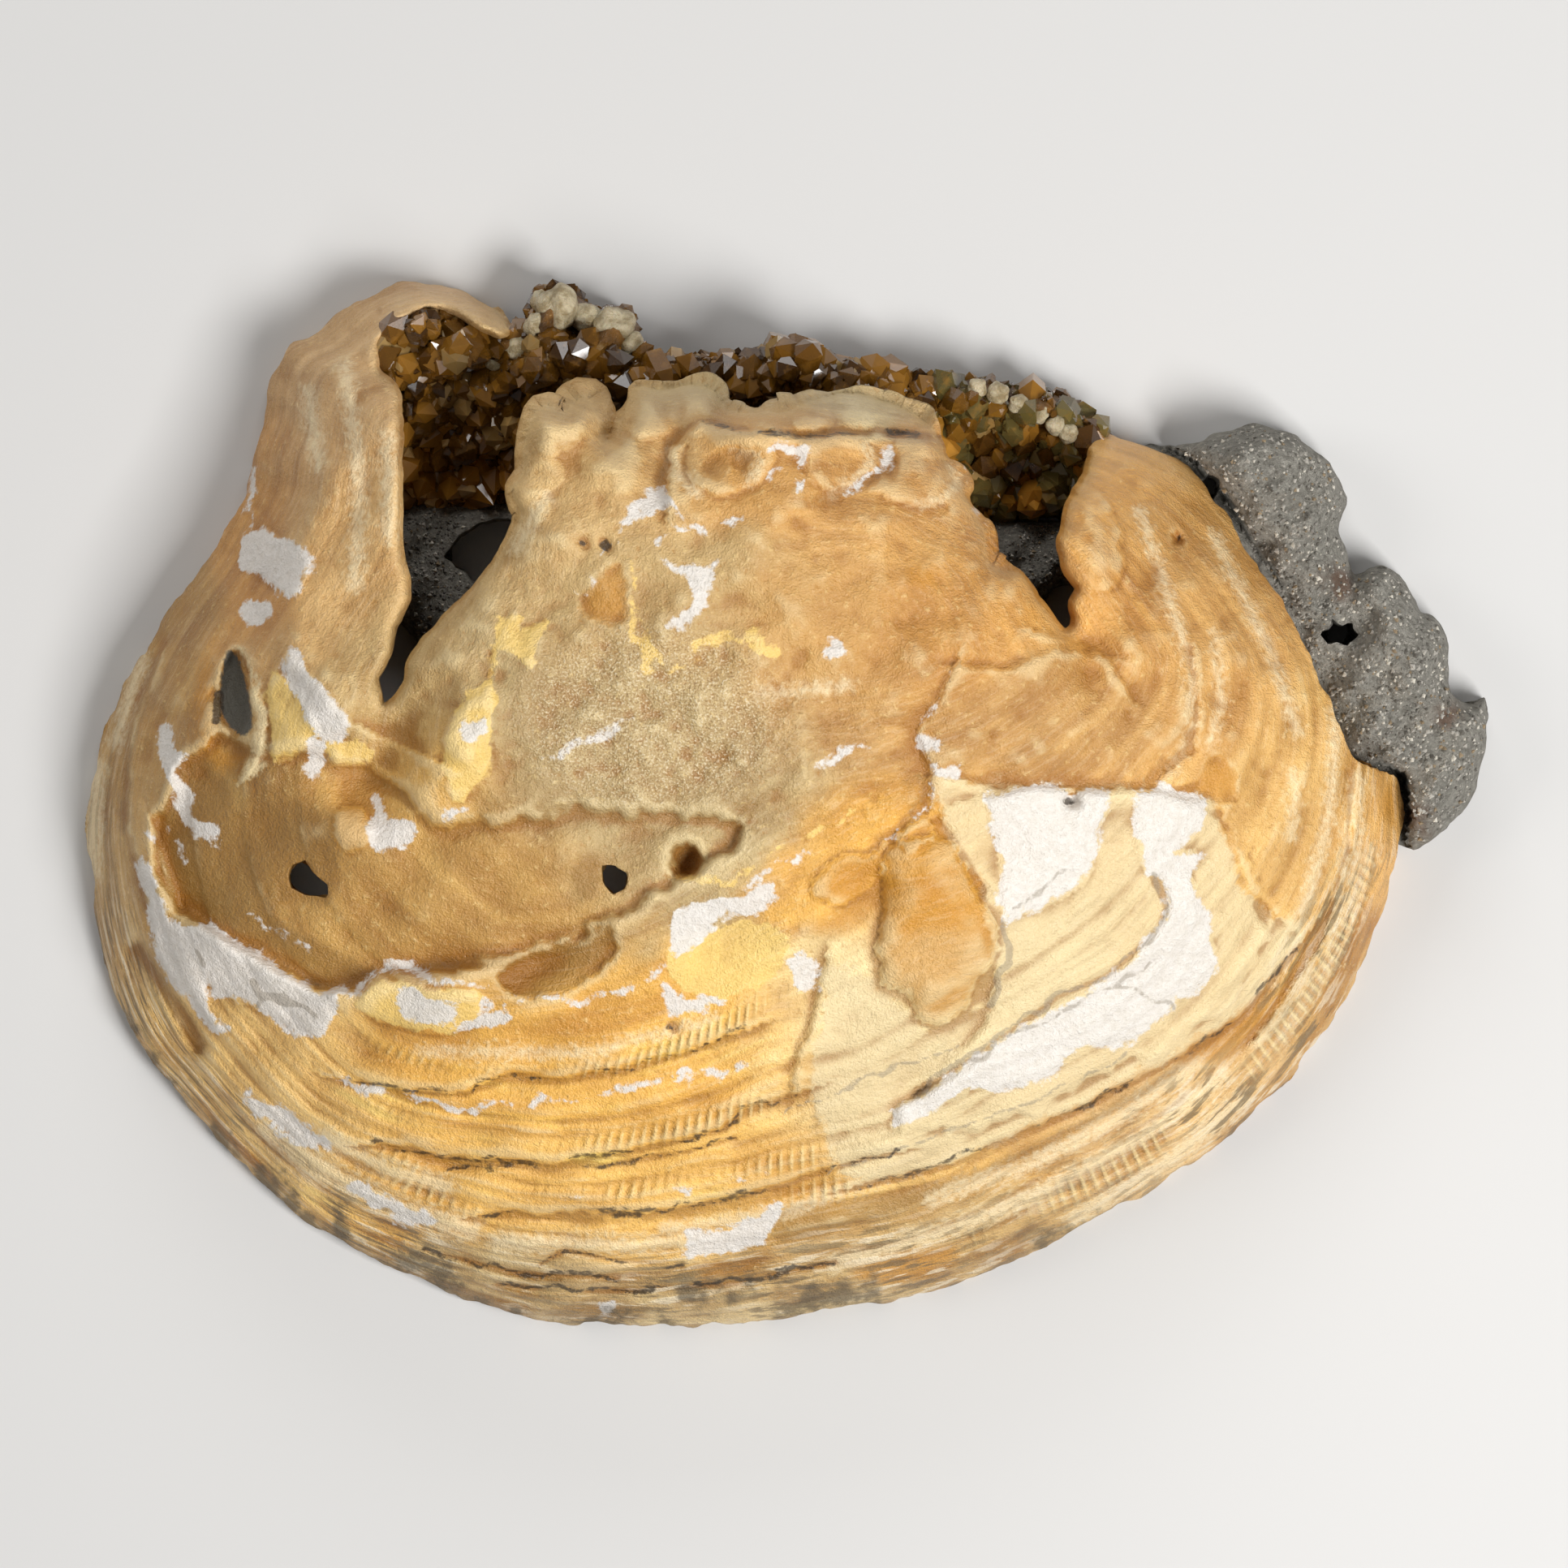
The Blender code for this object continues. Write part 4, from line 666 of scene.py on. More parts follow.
def rock_face(x, y):
    outside = ease((-edge_distance(x, y, MARGIN) - 0.2) / 1.0)
    grain = 0.6 * rough(x, y, 2.6, 3, 4) + 0.3 * rough(x, y, 1.0, 2, 14)
    top = rock_base(x, y) + grain * (0.25 + 0.75 * outside) - 0.25 * (1 - outside)
    covered = (x > 27) & (outside < 0.5)
    return np.where(covered, np.minimum(top, dome(x, y) - 2.6), top)


def crust_face(x, y):
    edge = edge_distance(x, y, CRUST)
    top = 3.6 + (CRUST_HEIGHT - 3.6) * ease((y - 25) / 13)
    top = top + 0.7 * np.sin(1.1 * x + 0.5) * np.sin(0.9 * y) + 0.5 * np.sin(0.63 * x - 1.7 * y)
    return (top + mounds(x, y, CRUST_MOUNDS)) * rounded(edge, 0.2, 2.2, 0.12) + 0.3 * rough(x, y, 1.6, 3, 2)


def gap_edge(x, y):
    """Distance from the dissolved gap, with small scallops on the beak's free edge."""
    scallop = 0.16 * rough(x, y, 1.4, 2, 6)
    return -edge_distance(x, y, GAP_LINE) + scallop


def beak_share(x):
    """1 on the free edge of the beak, 0 at the arms."""
    return ease((x + 24) / 4) * ease((22 - x) / 4)


def outer_face(x, y):
    """Outer height of the shell, rounded down to the dissolved gap and knobbly along the beak."""
    height = dome(x, y) + relief(x, y)
    edge = gap_edge(x, y)
    beak = beak_share(x)
    radius = 1.0 + 1.6 * beak
    left = 1 - np.clip(edge / radius, 0, 1)
    height = height - radius * (1 - np.sqrt(np.clip(1 - left ** 2, 0, 1)))
    knobs = beak * ease((y - 27) / 4) * np.exp(-((edge - 1.6) / 1.8) ** 2)
    height = height + 1.1 * knobs * (noise(x, y, 2.6, 8) + 0.3)
    for cx, cy, length, width, depth in PITS:
        pit = 1 - ((x - cx) / length) ** 2 - ((y - cy) / width) ** 2
        height = height - depth * np.sqrt(np.clip(pit, 0, 1))
    return height


def under_face(x, y, top):
    """Hollow side: the flat rim, then the inner wall, clear of rock and crust."""
    turn, share = polar(x, y)
    spot, limit = share * reach(turn), inner_reach(turn)
    low = np.where(spot < limit, inner_face(turn, np.clip(spot / limit, 0, 1)), 0)
    rock = edge_distance(x, y, MATRIX_LINE)
    low = np.where(rock > -0.6, np.maximum(low, rock_base(x, y) + SEAT_GAP), low)
    crust = edge_distance(x, y, CRUST_LINE)
    low = np.where(crust > -0.8, np.maximum(low, crust_face(x, y) + SEAT_GAP), low)
    return np.maximum(np.minimum(low, top - 0.5), 0)


# The dome's section, and the length of way along it, to lay the dome out flat
SHARE = np.linspace(0, 1, 400)
ARC_HEIGHT = 0.56 * np.clip(1 - SHARE ** 2.4, 0, 1) ** 0.74
ARC = np.concatenate([[0], np.cumsum(np.hypot(np.diff(SHARE), np.diff(ARC_HEIGHT)))])


def unflatten(u, v):
    """Plan place of a point of the dome laid out flat, so that steep flanks get as many points."""
    turn = np.arctan2(v, u)
    spread = np.hypot(u, v) / reach(turn)
    share = np.where(spread <= ARC[-1], np.interp(spread, ARC, SHARE), 1 + spread - ARC[-1])
    return POLE[0] + share * reach(turn) * np.cos(turn), POLE[1] + share * reach(turn) * np.sin(turn)


def lattice(box, spacing, field, place):
    """Triangles of a regular lattice where field is positive, cut along its zero line.

    Returns plan points, triangles and the edges along the cut."""
    (u0, v0), (u1, v1) = box
    rows, cols = int((v1 - v0) / (spacing * ROW_STEP)) + 2, int((u1 - u0) / spacing) + 2
    j, i = np.mgrid[0:rows, 0:cols]
    u = (u0 + (i + 0.5 * (j % 2)) * spacing).ravel()
    v = (v0 + j * spacing * ROW_STEP).ravel()
    index = (j * cols + i)[:-1, :-1]
    even = (j % 2 == 0)[:-1, :-1].ravel()
    a, b, c, d = (index + k for k in (0, 1, cols, cols + 1))
    a, b, c, d = (k.ravel() for k in (a, b, c, d))
    first = np.where(even[:, None], np.stack([a, b, c], 1), np.stack([a, b, d], 1))
    second = np.where(even[:, None], np.stack([b, d, c], 1), np.stack([a, d, c], 1))
    tris = np.concatenate([first, second])
    x, y = place(u, v)
    value = field(x, y)
    value = np.where(np.abs(value) < 1e-5, 1e-5, value)
    signs = (value > 0)[tris]
    kept = tris[signs.all(1)]
    mixed = tris[signs.any(1) & ~signs.all(1)]
    rolled = []
    for count in (1, 2):
        group = mixed[(value > 0)[mixed].sum(1) == count]
        inside = (value > 0)[group]
        lead = np.argmax(inside if count == 1 else ~inside, axis=1)
        turned = np.stack([np.take_along_axis(group, ((lead + k) % 3)[:, None], 1)[:, 0] for k in range(3)], 1)
        rolled.append(turned)
    crossing = np.concatenate([np.concatenate([g[:, [0, 1]], g[:, [0, 2]]]) for g in rolled])
    keys, where = np.unique(np.sort(crossing, axis=1), axis=0, return_inverse=True)
    where = where.ravel() + len(u)
    t = value[keys[:, 0]] / (value[keys[:, 0]] - value[keys[:, 1]])
    u = np.concatenate([u, u[keys[:, 0]] + t * (u[keys[:, 1]] - u[keys[:, 0]])])
    v = np.concatenate([v, v[keys[:, 0]] + t * (v[keys[:, 1]] - v[keys[:, 0]])])
    n1, n2 = len(rolled[0]), len(rolled[1])
    e01, e02 = where[:n1], where[n1:2 * n1]
    f01, f02 = where[2 * n1:2 * n1 + n2], where[2 * n1 + n2:]
    pieces = [kept, np.stack([rolled[0][:, 0], e01, e02], 1),
              np.stack([f01, rolled[1][:, 1], rolled[1][:, 2]], 1), np.stack([f01, rolled[1][:, 2], f02], 1)]
    rim = np.concatenate([np.stack([e01, e02], 1), np.stack([f02, f01], 1)])
    tris = np.concatenate(pieces)
    used = np.unique(tris)
    lookup = np.full(len(u), -1)
    lookup[used] = np.arange(len(used))
    x, y = place(u[used], v[used])
    return x, y, lookup[tris], lookup[rim]


def make_piece(name, points, faces, smooth=True):
    """Mesh object from millimetre points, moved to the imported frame."""
    data = bpy.data.meshes.new(name)
    points = (np.asarray(points) + np.array(CENTRE_SHIFT)) * UNIT
    faces = np.asarray(faces)
    data.vertices.add(len(points))
    data.vertices.foreach_set("co", points.astype(np.float32).ravel())
    data.loops.add(faces.size)
    data.loops.foreach_set("vertex_index", faces.ravel().astype(np.int32))
    data.polygons.add(len(faces))
    data.polygons.foreach_set("loop_start", np.arange(0, faces.size, faces.shape[1], dtype=np.int32))
    data.polygons.foreach_set("use_smooth", np.full(len(faces), smooth))
    data.update(calc_edges=True)
    data.validate()
    piece = bpy.data.objects.new(name, data)
    bpy.context.scene.collection.objects.link(piece)
    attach(piece, "root")
    return piece


def store(piece, name, values):
    """Float or colour attribute on the points."""
    values = np.asarray(values, np.float32)
    if values.ndim == 1:
        piece.data.attributes.new(name, "FLOAT", "POINT").data.foreach_set("value", values)
    else:
        full = np.concatenate([values, np.ones((len(values), 1), np.float32)], axis=1)
        piece.data.attributes.new(name, "FLOAT_COLOR", "POINT").data.foreach_set("color", full.ravel())


def slab(x, y, tris, rim, top, low, rows, bulge, field):
    """Top sheet, and a wall that hangs from its cut edge down to the lower face."""
    points = [np.stack([x, y, top], 1)]
    faces = [tris]
    edge = np.unique(rim)
    order = np.full(len(x), -1)
    order[edge] = np.arange(len(edge))
    step = 0.15
    gx = field(x[edge] + step, y[edge]) - field(x[edge] - step, y[edge])
    gy = field(x[edge], y[edge] + step) - field(x[edge], y[edge] - step)
    size = np.maximum(np.hypot(gx, gy), 1e-6)
    gx, gy = -gx / size, -gy / size
    previous = edge
    base = len(x)
    for row in range(1, rows + 1):
        share = row / rows
        out = bulge(x[edge], y[edge], share)
        z = top[edge] + (low[edge] - top[edge]) * share
        points.append(np.stack([x[edge] + gx * out, y[edge] + gy * out, z], 1))
        current = np.arange(len(edge)) + base
        base += len(edge)
        a, b = rim[:, 0], rim[:, 1]
        pa, pb = previous[order[a]], previous[order[b]]
        ca, cb = current[order[a]], current[order[b]]
        faces += [np.stack([pa, ca, cb], 1), np.stack([pa, cb, pb], 1)]
        previous = current
    return np.concatenate(points), np.concatenate(faces)


def solid(name, box, spacing, coarse, field, levels, rows, bulge, place=lambda u, v: (u, v)):
    """Closed mesh: a dense top sheet, the wall around it and a coarse under sheet.

    Returns the piece, its points and the top sheet's triangles."""
    x, y, top_tris, rim = lattice(box, spacing, field, place)
    points, faces = slab(x, y, top_tris, rim, *levels(x, y), rows, bulge, field)
    x, y, tris, _ = lattice(box, coarse, field, place)
    faces = np.concatenate([faces, tris[:, ::-1] + len(points)])
    points = np.concatenate([points, np.stack([x, y, levels(x, y)[1]], 1)])
    return make_piece(name, points, faces), points, top_tris


def spread(values, tris, rounds):
    """Values smoothed over neighbouring points."""
    pairs = np.concatenate([tris[:, [0, 1]], tris[:, [1, 2]], tris[:, [2, 0]]])
    pairs = np.concatenate([pairs, pairs[:, ::-1]])
    count = np.maximum(np.bincount(pairs[:, 0], minlength=len(values)), 1)
    for _ in range(rounds):
        total = np.bincount(pairs[:, 0], weights=values[pairs[:, 1]], minlength=len(values))
        values = 0.5 * values + 0.5 * total / count
    return values


def linear(colour):
    """Screen colour of 0 to 255 to the linear values that materials use."""
    c = np.asarray(colour, float) / 255
    return np.where(c <= 0.04045, c / 12.92, ((c + 0.055) / 1.055) ** 2.4)


def rich(colour):
    """Screen colour to a surface colour, less what gloss and lamps add to it."""
    return np.clip((linear(colour) - WASH) / GAIN, 0.006, 0.95)


class Paint:
    """Lays out one material's nodes, tint over tint."""

    def __init__(self, name):
        self.material = bpy.data.materials.new(name)
        self.material.use_nodes = True
        self.tree = self.material.node_tree
        self.surface = self.tree.nodes["Principled BSDF"]
        self.colour = None
        place = self.node("ShaderNodeTexCoord").outputs["Object"]
        self.mm = self.node("ShaderNodeVectorMath", {0: place, "Scale": 1000.0}, operation="SCALE").outputs[0]

    def plug(self, socket, value):
        if isinstance(value, bpy.types.NodeSocket):
            self.tree.links.new(value, socket)
        elif isinstance(value, (tuple, np.ndarray)):
            socket.default_value = tuple(value) + ((1.0,) if socket.type == "RGBA" else ())
        else:
            socket.default_value = value

    def node(self, kind, inputs=None, **settings):
        """A node with its settings; its inputs are numbers, colours or what other nodes give."""
        node = self.tree.nodes.new(kind)
        for name, value in settings.items():
            setattr(node, name, value)
        for name, value in (inputs or {}).items():
            self.plug(node.inputs[name], value)
        return node

    def math(self, operation, a, b=0.0, clamp=False):
        return self.node("ShaderNodeMath", {0: a, 1: b}, operation=operation, use_clamp=clamp).outputs[0]

    def total(self, first, *others):
        """Sum of values times weights."""
        result = self.math("MULTIPLY", *first)
        for value, weight in others:
            result = self.math("ADD", result, self.math("MULTIPLY", value, weight))
        return result

    def mix(self, share, a, b):
        return self.node("ShaderNodeMix", {0: share, 6: a, 7: b}, data_type="RGBA").outputs[2]

    def noise(self, scale, detail, roughness, vector=None):
        vector = self.mm if vector is None else vector
        inputs = {"Vector": vector, "Scale": scale, "Detail": detail, "Roughness": roughness}
        return self.node("ShaderNodeTexNoise", inputs).outputs["Fac"]

    def attribute(self, name, output="Fac"):
        return self.node("ShaderNodeAttribute", attribute_name=name).outputs[output]

    def step(self, value, low, high):
        inputs = {"Value": value, "From Min": low, "From Max": high}
        return self.node("ShaderNodeMapRange", inputs, interpolation_type="SMOOTHSTEP").outputs["Result"]

    def lay(self, value, low, high, amount, tint):
        """Lays a tint over the colour so far, as a value goes from low to high."""
        share = self.step(value, low, high)
        self.colour = self.mix(self.math("MULTIPLY", share, amount), self.colour, tint)
        return share

    def finish(self, surface, height=None, depth=0.0):
        """Gives the surface its colour, its other values and a fine relief."""
        if height is not None:
            bump = self.node("ShaderNodeBump", {"Strength": 1.0, "Distance": depth, "Height": height})
            surface["Normal"] = bump.outputs["Normal"]
        for name, value in {"Base Color": self.colour, **surface}.items():
            self.plug(self.surface.inputs[name], value)
        return self.material


def shell_material():
    paint = Paint("honey_calcite")
    fine, speck = paint.noise(1.7, 4, 0.62), paint.noise(5.5, 2, 0.6)
    wobble = paint.math("MULTIPLY", paint.math("SUBTRACT", fine, 0.5), 2.4)

    def field(name, waver):
        return paint.math("ADD", paint.attribute(name), paint.math("MULTIPLY", wobble, waver))

    paint.colour = paint.attribute("base_colour", "Color")
    paint.lay(fine, 0.55, 0.75, 0.45, rich((244, 214, 150)))
    paint.lay(fine, 0.44, 0.28, 0.4, rich((176, 120, 50)))
    paint.lay(field("brown", 0.7), -0.35, 0.5, 0.66, rich((150, 112, 62)))
    paint.lay(field("amber", 0.8), -0.4, 0.8, 0.7, rich((198, 138, 56)))
    paint.lay(field("streak", 1.1), -0.7, 0.7, 0.62, rich((244, 226, 186)))
    paint.lay(field("cream", 0.8), -0.3, 0.5, 0.86, rich((228, 206, 160)))
    paint.lay(field("yellow", 0.5), -0.1, 0.2, 0.88, rich((240, 204, 122)))
    ring = paint.node("ShaderNodeCombineXYZ", {0: paint.attribute("ring_along"), 1: paint.attribute("ring_across")})
    layers, layered = paint.noise(2.0, 3, 0.6, ring.outputs[0]), paint.attribute("layered")
    paint.lay(layers, 0.51, 0.59, paint.math("MULTIPLY", layered, 0.8), rich((122, 102, 72)))
    paint.lay(layers, 0.46, 0.39, paint.math("MULTIPLY", layered, 0.6), rich((246, 232, 202)))
    # Painted shade in hollows and creases, painted light on ridges and on the rounded edge by the gap
    hollow = paint.attribute("hollow")
    paint.lay(hollow, 0.05, 1.3, 0.6, rich((150, 98, 42)))
    paint.lay(hollow, -0.2, -1.4, 0.36, rich((248, 226, 176)))
    white = paint.mix(paint.step(fine, 0.2, 0.8), linear((218, 211, 201)), linear((235, 230, 224)))
    chalk = paint.lay(field("chalk", 0.55), -0.12, 0.26, 0.92, white)
    paint.lay(field("hairline", 0.15), -0.08, 0.05, 0.55, rich((150, 138, 120)))
    ribs = paint.math("MULTIPLY", paint.math("SINE", paint.attribute("ribs")), paint.attribute("rib_band"))
    paint.lay(ribs, 0.1, 0.9, 0.4, rich((250, 226, 168)))
    paint.lay(ribs, -0.2, -0.9, 0.34, rich((190, 132, 58)))
    grain = paint.math("MULTIPLY", paint.step(paint.attribute("core"), -1.0, 3.0), 0.6)
    paint.lay(speck, 0.52, 0.68, grain, linear((238, 224, 192)))
    paint.lay(speck, 0.48, 0.32, grain, linear((134, 100, 58)))
    grey = paint.lay(field("grey", 0.3), -0.1, 0.2, 1.0, linear((84, 80, 70)))
    dirt = paint.lay(field("dirt", 1.4), -1.1, 1.1, 0.78, linear((98, 84, 62)))
    # Dark lines: cracks that are partly painted shade, painted shadow below steps, and painted shade in small pits
    paint.lay(field("crack", 0.3), -0.1, 0.1, 0.85, linear((48, 36, 20)))
    dull = paint.total((speck, 0.3), (chalk, 0.15), (dirt, 0.25), (grey, 0.25))
    height = paint.total((fine, 0.6), (speck, 0.35), (ribs, 0.28), (paint.math("MULTIPLY", layers, layered), -1.2))
    return paint.finish({"Roughness": paint.math("ADD", dull, 0.2, True), "IOR": 1.5}, height, 0.00042)


def rock_material():
    paint = Paint("sandy_limestone_rock")
    coarse, fine = paint.noise(1.6, 6, 0.7), paint.noise(5.5, 4, 0.7)
    paint.colour = paint.mix(paint.step(coarse, 0.35, 0.65), linear((146, 141, 130)), linear((196, 191, 179)))
    paint.lay(fine, 0.56, 0.72, 0.5, linear((200, 194, 182)))
    paint.lay(fine, 0.42, 0.3, 0.6, linear((72, 67, 60)))
    paint.lay(paint.attribute("stain"), 0.0, 1.0, 0.7, linear((120, 78, 46)))
    return paint.finish({"Roughness": 0.92}, paint.total((coarse, 1.0), (fine, 0.7)), 0.0009)


def grain_material():
    paint = Paint("sand_grains")
    paint.colour = paint.attribute("grain_colour", "Color")
    return paint.finish({"Roughness": 0.7})


def crystal_material():
    paint = Paint("honey_brown_crystal")
    # Crystal tints, with painted light on the crystals low in the gaps
    paint.colour = paint.attribute("crystal_colour", "Color")
    paint.lay(paint.noise(0.8, 4, 0.6), 0.5, 0.7, 0.4, linear((198, 140, 56)))
    return paint.finish({"Roughness": 0.12, "IOR": 1.6, "Transmission Weight": 0.45})


def crust_base_material():
    paint = Paint("brown_calcite_base")
    cloud, fine = paint.noise(0.5, 5, 0.6), paint.noise(2.5, 5, 0.7)
    paint.colour = paint.mix(paint.step(cloud, 0.35, 0.65), linear((74, 48, 16)), linear((138, 94, 34)))
    paint.lay(fine, 0.6, 0.75, 0.5, linear((220, 180, 120)))
    return paint.finish({"Roughness": 0.3}, fine, 0.0004)


def lump_material():
    paint = Paint("cream_calcite_lumps")
    cloud, fine = paint.noise(0.9, 5, 0.6), paint.noise(4.0, 4, 0.6)
    paint.colour = paint.mix(paint.step(cloud, 0.35, 0.65), linear((150, 132, 96)), linear((204, 190, 158)))
    return paint.finish({"Roughness": 0.4, "Subsurface Weight": 0.2, "Subsurface Radius": (1.0, 0.6, 0.3),
                         "Subsurface Scale": 0.0012}, fine, 0.0003)


def shell_field(x, y):
    turn, share = polar(x, y)
    value = edge_reach(turn) - share * reach(turn) - 0.22 - 0.34 * rough(x, y, 2.4, 3, 65)
    value = np.minimum(value, gap_edge(x, y))
    for hole in SHELL_HOLES:
        value = np.minimum(value, -edge_distance(x, y, hole) + 0.12 * noise(x, y, 0.8, 2))
    return value


def base_colour(x, y):
    """Broad colours blended by nearness, with wavering borders."""
    wx, wy = x + 2.2 * rough(x, y, 5, 3, 12), y + 1.6 * rough(x, y, 5, 3, 15)
    total = np.zeros(x.shape)
    colour = np.zeros(x.shape + (3,))
    for (cx, cy), (rx, ry), screen in REGIONS:
        weight = np.exp(-1.5 * (((wx - cx) / rx) ** 2 + ((wy - cy) / ry) ** 2)) + 1e-7
        total += weight
        colour += weight[..., None] * rich(screen)
    return colour / total[..., None]


def shell_levels(x, y):
    """Outer and hollow side of the shell, with a thin wall left between them."""
    top = outer_face(x, y)
    low = under_face(x, y, top)
    turn, share = polar(x, y)
    top = np.where(share > 0.9999, np.maximum(rim_height(turn), 0.5), top)
    return np.maximum(top, low + 0.4), low


def make_shell():
    def bulge(px, py, part):
        near_gap = gap_edge(px, py) < 0.3
        out = 0.35 + 0.9 * beak_share(px) * (0.6 + noise(px, py, 2.2, 3))
        out = out * math.sin(math.pi * min(part * 1.15, 1))
        layers = 0.12 * noise(px, 40 * part, 2.0, 17) * math.sin(math.pi * part)
        return np.where(near_gap, out, 0) + layers

    shell, points, tris = solid("shell_surface", SHELL_BOX, *SHELL_SPACING, shell_field, shell_levels,
                                SHELL_WALL_ROWS, bulge, unflatten)
    px, py = points[:, 0], points[:, 1]
    turn, share = polar(px, py)
    start_share = pause_share(turn)
    growth = np.clip(share, 1e-4, 1) ** (math.log(0.7) / np.log(start_share))
    band = (share - start_share) / (1 - start_share)
    along = np.mod(turn - math.radians(100), 2 * math.pi) * RING_RADIUS
    across = growth * RING_REACH
    seam = ease((np.minimum(along, 2 * RING_RADIUS * math.pi - along) - 6) / 12) * ease(growth / 0.35)
    streak = seam * rough(along * 0.13, across, 1.1, 3, 40)
    wide = rough(px, py, 4.5, 3, 45)
    layers = noise(along * 0.05, across, 0.5, 70) + 0.6 * noise(px, py, 3, 71)
    layers = ease((band - 0.66) / 0.12) * belly(turn, 20) * ease(layers * 1.5 - 0.1)
    tone = (0.22 * streak + 0.16 * wide - 0.42 * layers)[:, None] * np.array([0.75, 1.0, 1.35])
    store(shell, "base_colour", np.clip(base_colour(px, py) * (1 + tone), 0.01, 0.95))
    store(shell, "ring_along", along * 0.12)
    store(shell, "ring_across", across + 0.5 * noise(px, py, 7, 72))
    edge_band = ease((band - 0.62) / 0.16) * between(turn, -165, -10, 24)
    patches = 0.35 + 0.65 * ease(0.6 + 0.9 * rough(px, py, 5, 2, 73))
    smooth = ease(1 - edge_distance(px, py, LOWERED) / 2)
    store(shell, "layered", seam * (0.16 * smooth + 0.84 * edge_band) * patches)
    flake_x, flake_y = px + 0.5 * rough(px, py, 1.5, 2, 61), py + 0.5 * rough(px, py, 1.5, 2, 62)
    thin = 0.3 * ease(noise(px, py, 1.2, 60) * 1.5 + 0.2)
    chalk = marking(flake_x, flake_y, CHALK_FILLS) + 0.15 - 0.5 * thin
    store(shell, "chalk", np.maximum(chalk, marking(flake_x, flake_y, (), CHALK_LINES) - thin))
    cream = marking(flake_x + 0.8 * noise(px, py, 3.4, 63), flake_y, CREAM_FILLS)
    store(shell, "cream", cream)
    store(shell, "streak", marking(px, py, (), PALE_STREAKS))
    yellow = marking(flake_x, flake_y, YELLOW_FILLS)
    store(shell, "yellow", np.maximum(yellow, marking(flake_x, flake_y, (), YELLOW_LINES) - thin))
    amber = marking(px, py, AMBER_FILLS)
    store(shell, "amber", amber)
    store(shell, "brown", marking(px, py, BROWN_FILLS, BROWN_LINES))
    jag_x, jag_y = px + 0.45 * noise(px, py, 1.3, 50), py + 0.45 * noise(px, py, 1.3, 51)
    # Dark cracks, partly painted shade, with painted shadow lines below steps and painted shade in small pits
    store(shell, "crack", marking(jag_x, jag_y, (), CRACKS_AND_SHADOW_LINES) - 0.2 * ease(noise(px, py, 2.6, 52) * 1.6))
    store(shell, "hairline", marking(jag_x, jag_y, (), HAIRLINES))
    store(shell, "dirt", marking(px, py, (), DIRT) - 0.25 + 1.5 * rough(px, py, 1.3, 4, 55))
    store(shell, "grey", marking(px, py, [GREY]))
    store(shell, "core", 8 - np.hypot((px + 11) / 1.5, (py - 7) / 1.05))
    store(shell, "ribs", np.arctan2(py - RIB_POLE[1], px - RIB_POLE[0]) * RIB_COUNT)
    ribbed = sum(np.exp(-((band - at) / 0.045) ** 2) for at in RIB_BANDS)
    ribbed = ribbed + ease((px - 6) / 8) * np.exp(-((band - 0.86) / 0.05) ** 2)
    patchy = ease(0.7 + 0.9 * rough(px, py, 7, 2, 20)) * ease((px + 37) / 8)
    patchy = patchy * ease(-cream / 1.5) * ease(-amber / 1.5)
    store(shell, "rib_band", belly(turn, 20) * np.clip(ribbed, 0, 1) * patchy)
    # Painted relief shading: points below their neighbours get a darker tint as painted shade in hollows and
    # creases, points above them a paler tint as painted light on ridges, and the rounded edge by the gap a paler
    # rim as painted light
    x, y, top = points[:tris.max() + 1].T
    level = top - dome(x, y)
    near, far = spread(level, tris, 5), spread(level, tris, 50)
    hollow = np.zeros(len(px))
    edge = gap_edge(x, y)
    inside = ease((edge - 0.2) / 1.8)
    worn = np.clip((near - level) / 0.16 + (far - level) / 0.8, -1.5, 1.5)
    hollow[:len(x)] = inside * worn - 0.8 * (1 - ease((edge - 0.1) / 1.1))
    store(shell, "hollow", hollow)
    shell.data.materials.append(shell_material())
    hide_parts("shell_valve")


def rock_field(x, y):
    value = edge_distance(x, y, MATRIX_LINE) + 0.18 * rough(x, y, 1.5, 2, 3)
    for hole in ROCK_HOLES:
        value = np.minimum(value, -edge_distance(x, y, hole) + 0.12 * noise(x, y, 0.8, 2))
    return value


